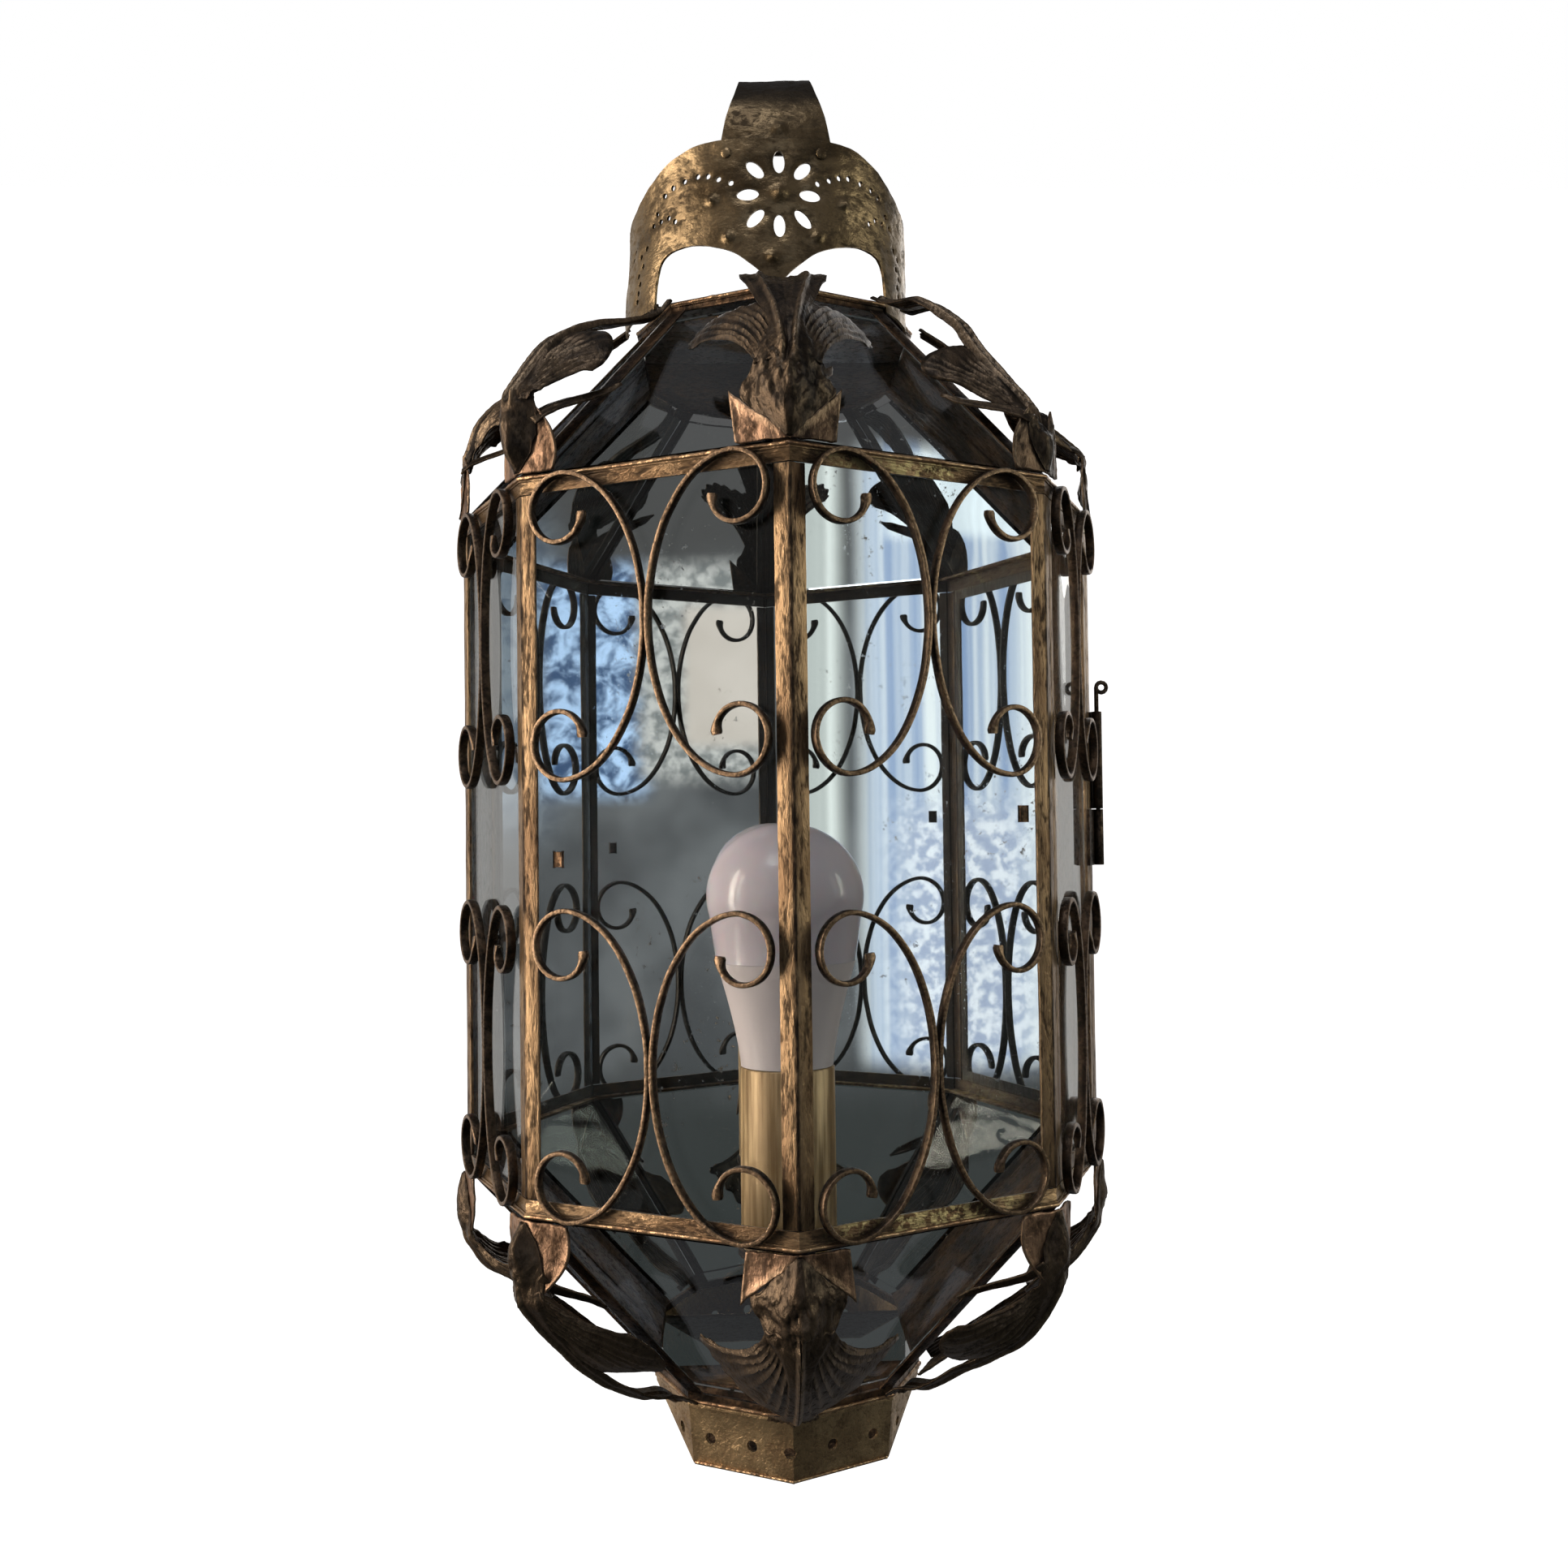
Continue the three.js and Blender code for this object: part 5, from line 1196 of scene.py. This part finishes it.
def sleeve():
    low, high, outer, inner = SLEEVE_FOOT, SLEEVE_TOP, 17.8, 15.8
    profile = [(inner, low), (outer - 0.3, low), (outer, low + 0.4), (outer, high - 0.6), (outer - 0.5, high),
               (inner + 0.3, high), (inner, high - 0.3), (inner, low)]
    turned("candle_sleeve_drawn", profile, SLEEVE_GOLD, ["candle_sleeve"])


bulb()
sleeve()


# Stage and light

def white_stage():
    """A plain pale floor that runs up into a backdrop, far from the lantern. In metres."""
    low, near, far, bend = -0.95, -4.4, 2.6, 0.8

    def place(u, v):
        run = v * 9.0
        flat = far - near - bend
        if run < flat:
            y, z = near + run, low
        elif run < flat + bend * pi / 2:
            a = (run - flat) / bend
            y, z = far - bend + bend * sin(a), low + bend - bend * cos(a)
        else:
            y, z = far, low + bend + run - flat - bend * pi / 2
        return Vector(((u - 0.5) * 14, y, z)) / MM, 0.0

    bm = bmesh.new()
    sheet(bm, 2, 60, place)
    mesh = bpy.data.meshes.new("studio_floor")
    bm.to_mesh(mesh)
    bm.free()
    mesh.shade_smooth()
    made, tree, shader = new_material("pale_studio_floor")
    grain = speckle(tree, object_place(tree), 3.0, 2.0)
    fill(tree, shader, {
        "Base Color": blend(tree, grain, (0.86, 0.86, 0.86), (0.88, 0.88, 0.88)), "Roughness": 0.9,
        "Emission Color": (1, 1, 1), "Emission Strength": 0.95,
    })
    mesh.materials.append(made)
    floor = bpy.data.objects.new("studio_floor", mesh)
    scene.collection.objects.link(floor)
    floor.visible_diffuse = floor.visible_glossy = floor.visible_transmission = False


def box_mask(tree, across, up, x0, x1, z0, z1, soft=0.01):
    edges = ((across, x0, 1), (across, x1, -1), (up, z0, 1), (up, z1, -1))
    return times(tree, *(between(tree, value, at - soft * way, at + soft * way) for value, at, way in edges))


def studio_world():
    """White to the camera. To the metal and the mirror it is dim, with paler and darker fields in front."""
    world = bpy.data.worlds.new("studio")
    world.use_nodes = True
    tree = world.node_tree
    tree.nodes.clear()
    way = node(tree, "SeparateXYZ", {0: node(tree, "TexCoord").outputs["Generated"]}).outputs
    front = math_node(tree, "MAXIMUM", times(tree, way["Y"], -1.0), 0.04)
    across, up = (math_node(tree, "DIVIDE", way[axis], front) for axis in "XZ")
    flat = node(tree, "CombineXYZ", {0: across, 1: up}).outputs[0]
    cloud = speckle(tree, flat, 9.0, 3.0)
    tangle = speckle(tree, flat, 58.0, 5.0, 0.65, 0.6)
    folds = speckle(tree, node(tree, "CombineXYZ", {0: across}).outputs[0], 42.0, 3.0)
    lace = speckle(tree, flat, 120.0, 3.0, 0.6)
    base = blend(tree, between(tree, way["Z"], -0.45, 0.5), (0.042, 0.048, 0.046), (0.125, 0.118, 0.115))
    base = blend(tree, between(tree, way["Y"], -0.1, 0.4), base, (0.11, 0.11, 0.115))
    beside = box_mask(tree, way["Y"], way["Z"], 0.52, 0.93, -0.42, 0.42, 0.06)
    base = blend(tree, beside, base, (0.56, 0.55, 0.53))
    # The fields: left, right, foot and top with the softness of the edges, the dark and the light colour, the
    # pattern that mixes them and the part of its range that does
    fields = [
        ((-0.34, 0.30, -0.17, 0.165, 0.03), (0.10, 0.102, 0.105), (0.22, 0.222, 0.225), cloud),
        ((-0.5, -0.125, 0.0, 0.2, 0.03), (0.16, 0.22, 0.32), (0.50, 0.58, 0.66), tangle),
        ((-0.125, -0.056, 0.02, 0.172), (0.07, 0.13, 0.26), (0.72, 0.98, 1.35), tangle, 0.40, 0.60),
        ((-0.06, 0.02, 0.03, 0.172), (0.30, 0.31, 0.30), (0.85, 0.82, 0.77), lace),
        ((-0.03, 0.024, 0.052, 0.145, 0.006), (0.84, 0.73, 0.635), (0.98, 0.86, 0.76), cloud),
        ((0.044, 0.075, -0.1, 0.25, 0.007), (0.68, 0.71, 0.67), (1.24, 1.27, 1.20), folds),
        ((0.088, 0.42, -0.16, 0.25), (0.38, 0.52, 0.80), (1.25, 1.30, 1.30), folds, 0.40, 0.60),
        ((0.112, 0.2, -0.16, 0.01, 0.02), (0.58, 0.66, 0.86), (1.25, 1.28, 1.34), lace, 0.42, 0.6),
        ((0.105, 0.21, 0.19, 0.245, 0.006), (1.1, 1.2, 1.25), (1.5, 1.6, 1.65), folds),
    ]
    for box, dark, light, pattern, *part in fields:
        mixed = blend(tree, between(tree, pattern, *(part or (0.36, 0.64))), dark, light)
        base = blend(tree, box_mask(tree, across, up, *box), base, mixed)
    studio = node(tree, "Background", {"Color": base}).outputs[0]
    white = node(tree, "Background", {"Color": (1, 1, 1)}).outputs[0]
    camera_ray = node(tree, "LightPath").outputs["Is Camera Ray"]
    both = node(tree, "MixShader", {0: camera_ray, 1: studio, 2: white}).outputs[0]
    tree.links.new(both, tree.nodes.new("ShaderNodeOutputWorld").inputs[0])
    scene.world = world


def soft_lamp(name, place, width, height, power, colour):
    """A flat lamp that looks at the body's middle."""
    data = bpy.data.lights.new(name, "AREA")
    data.shape = "RECTANGLE"
    data.size, data.size_y = width, height
    data.energy = power
    data.color = colour
    lamp = bpy.data.objects.new(name, data)
    lamp.location = place
    lamp.rotation_mode = "QUATERNION"
    lamp.rotation_quaternion = (Vector((0, -0.08, 0)) - Vector(place)).to_track_quat("-Z", "Y")
    lamp.visible_camera = False
    scene.collection.objects.link(lamp)


white_stage()
studio_world()
soft_lamp("warm_key", (-1.5, -0.34, 0.2), 0.5, 1.5, 26, (1.0, 0.87, 0.72))
soft_lamp("cool_side", (1.5, -0.3, 0.3), 0.5, 0.8, 4.5, (0.92, 0.93, 0.78))
soft_lamp("top_soft", (-0.3, -0.9, 1.7), 0.8, 0.6, 7, (0.95, 0.97, 1.0))
soft_lamp("rear_soft", (0.3, 1.3, 0.6), 1.4, 1.2, 10, (1.0, 0.98, 0.95))
scene.view_settings.view_transform = "Standard"
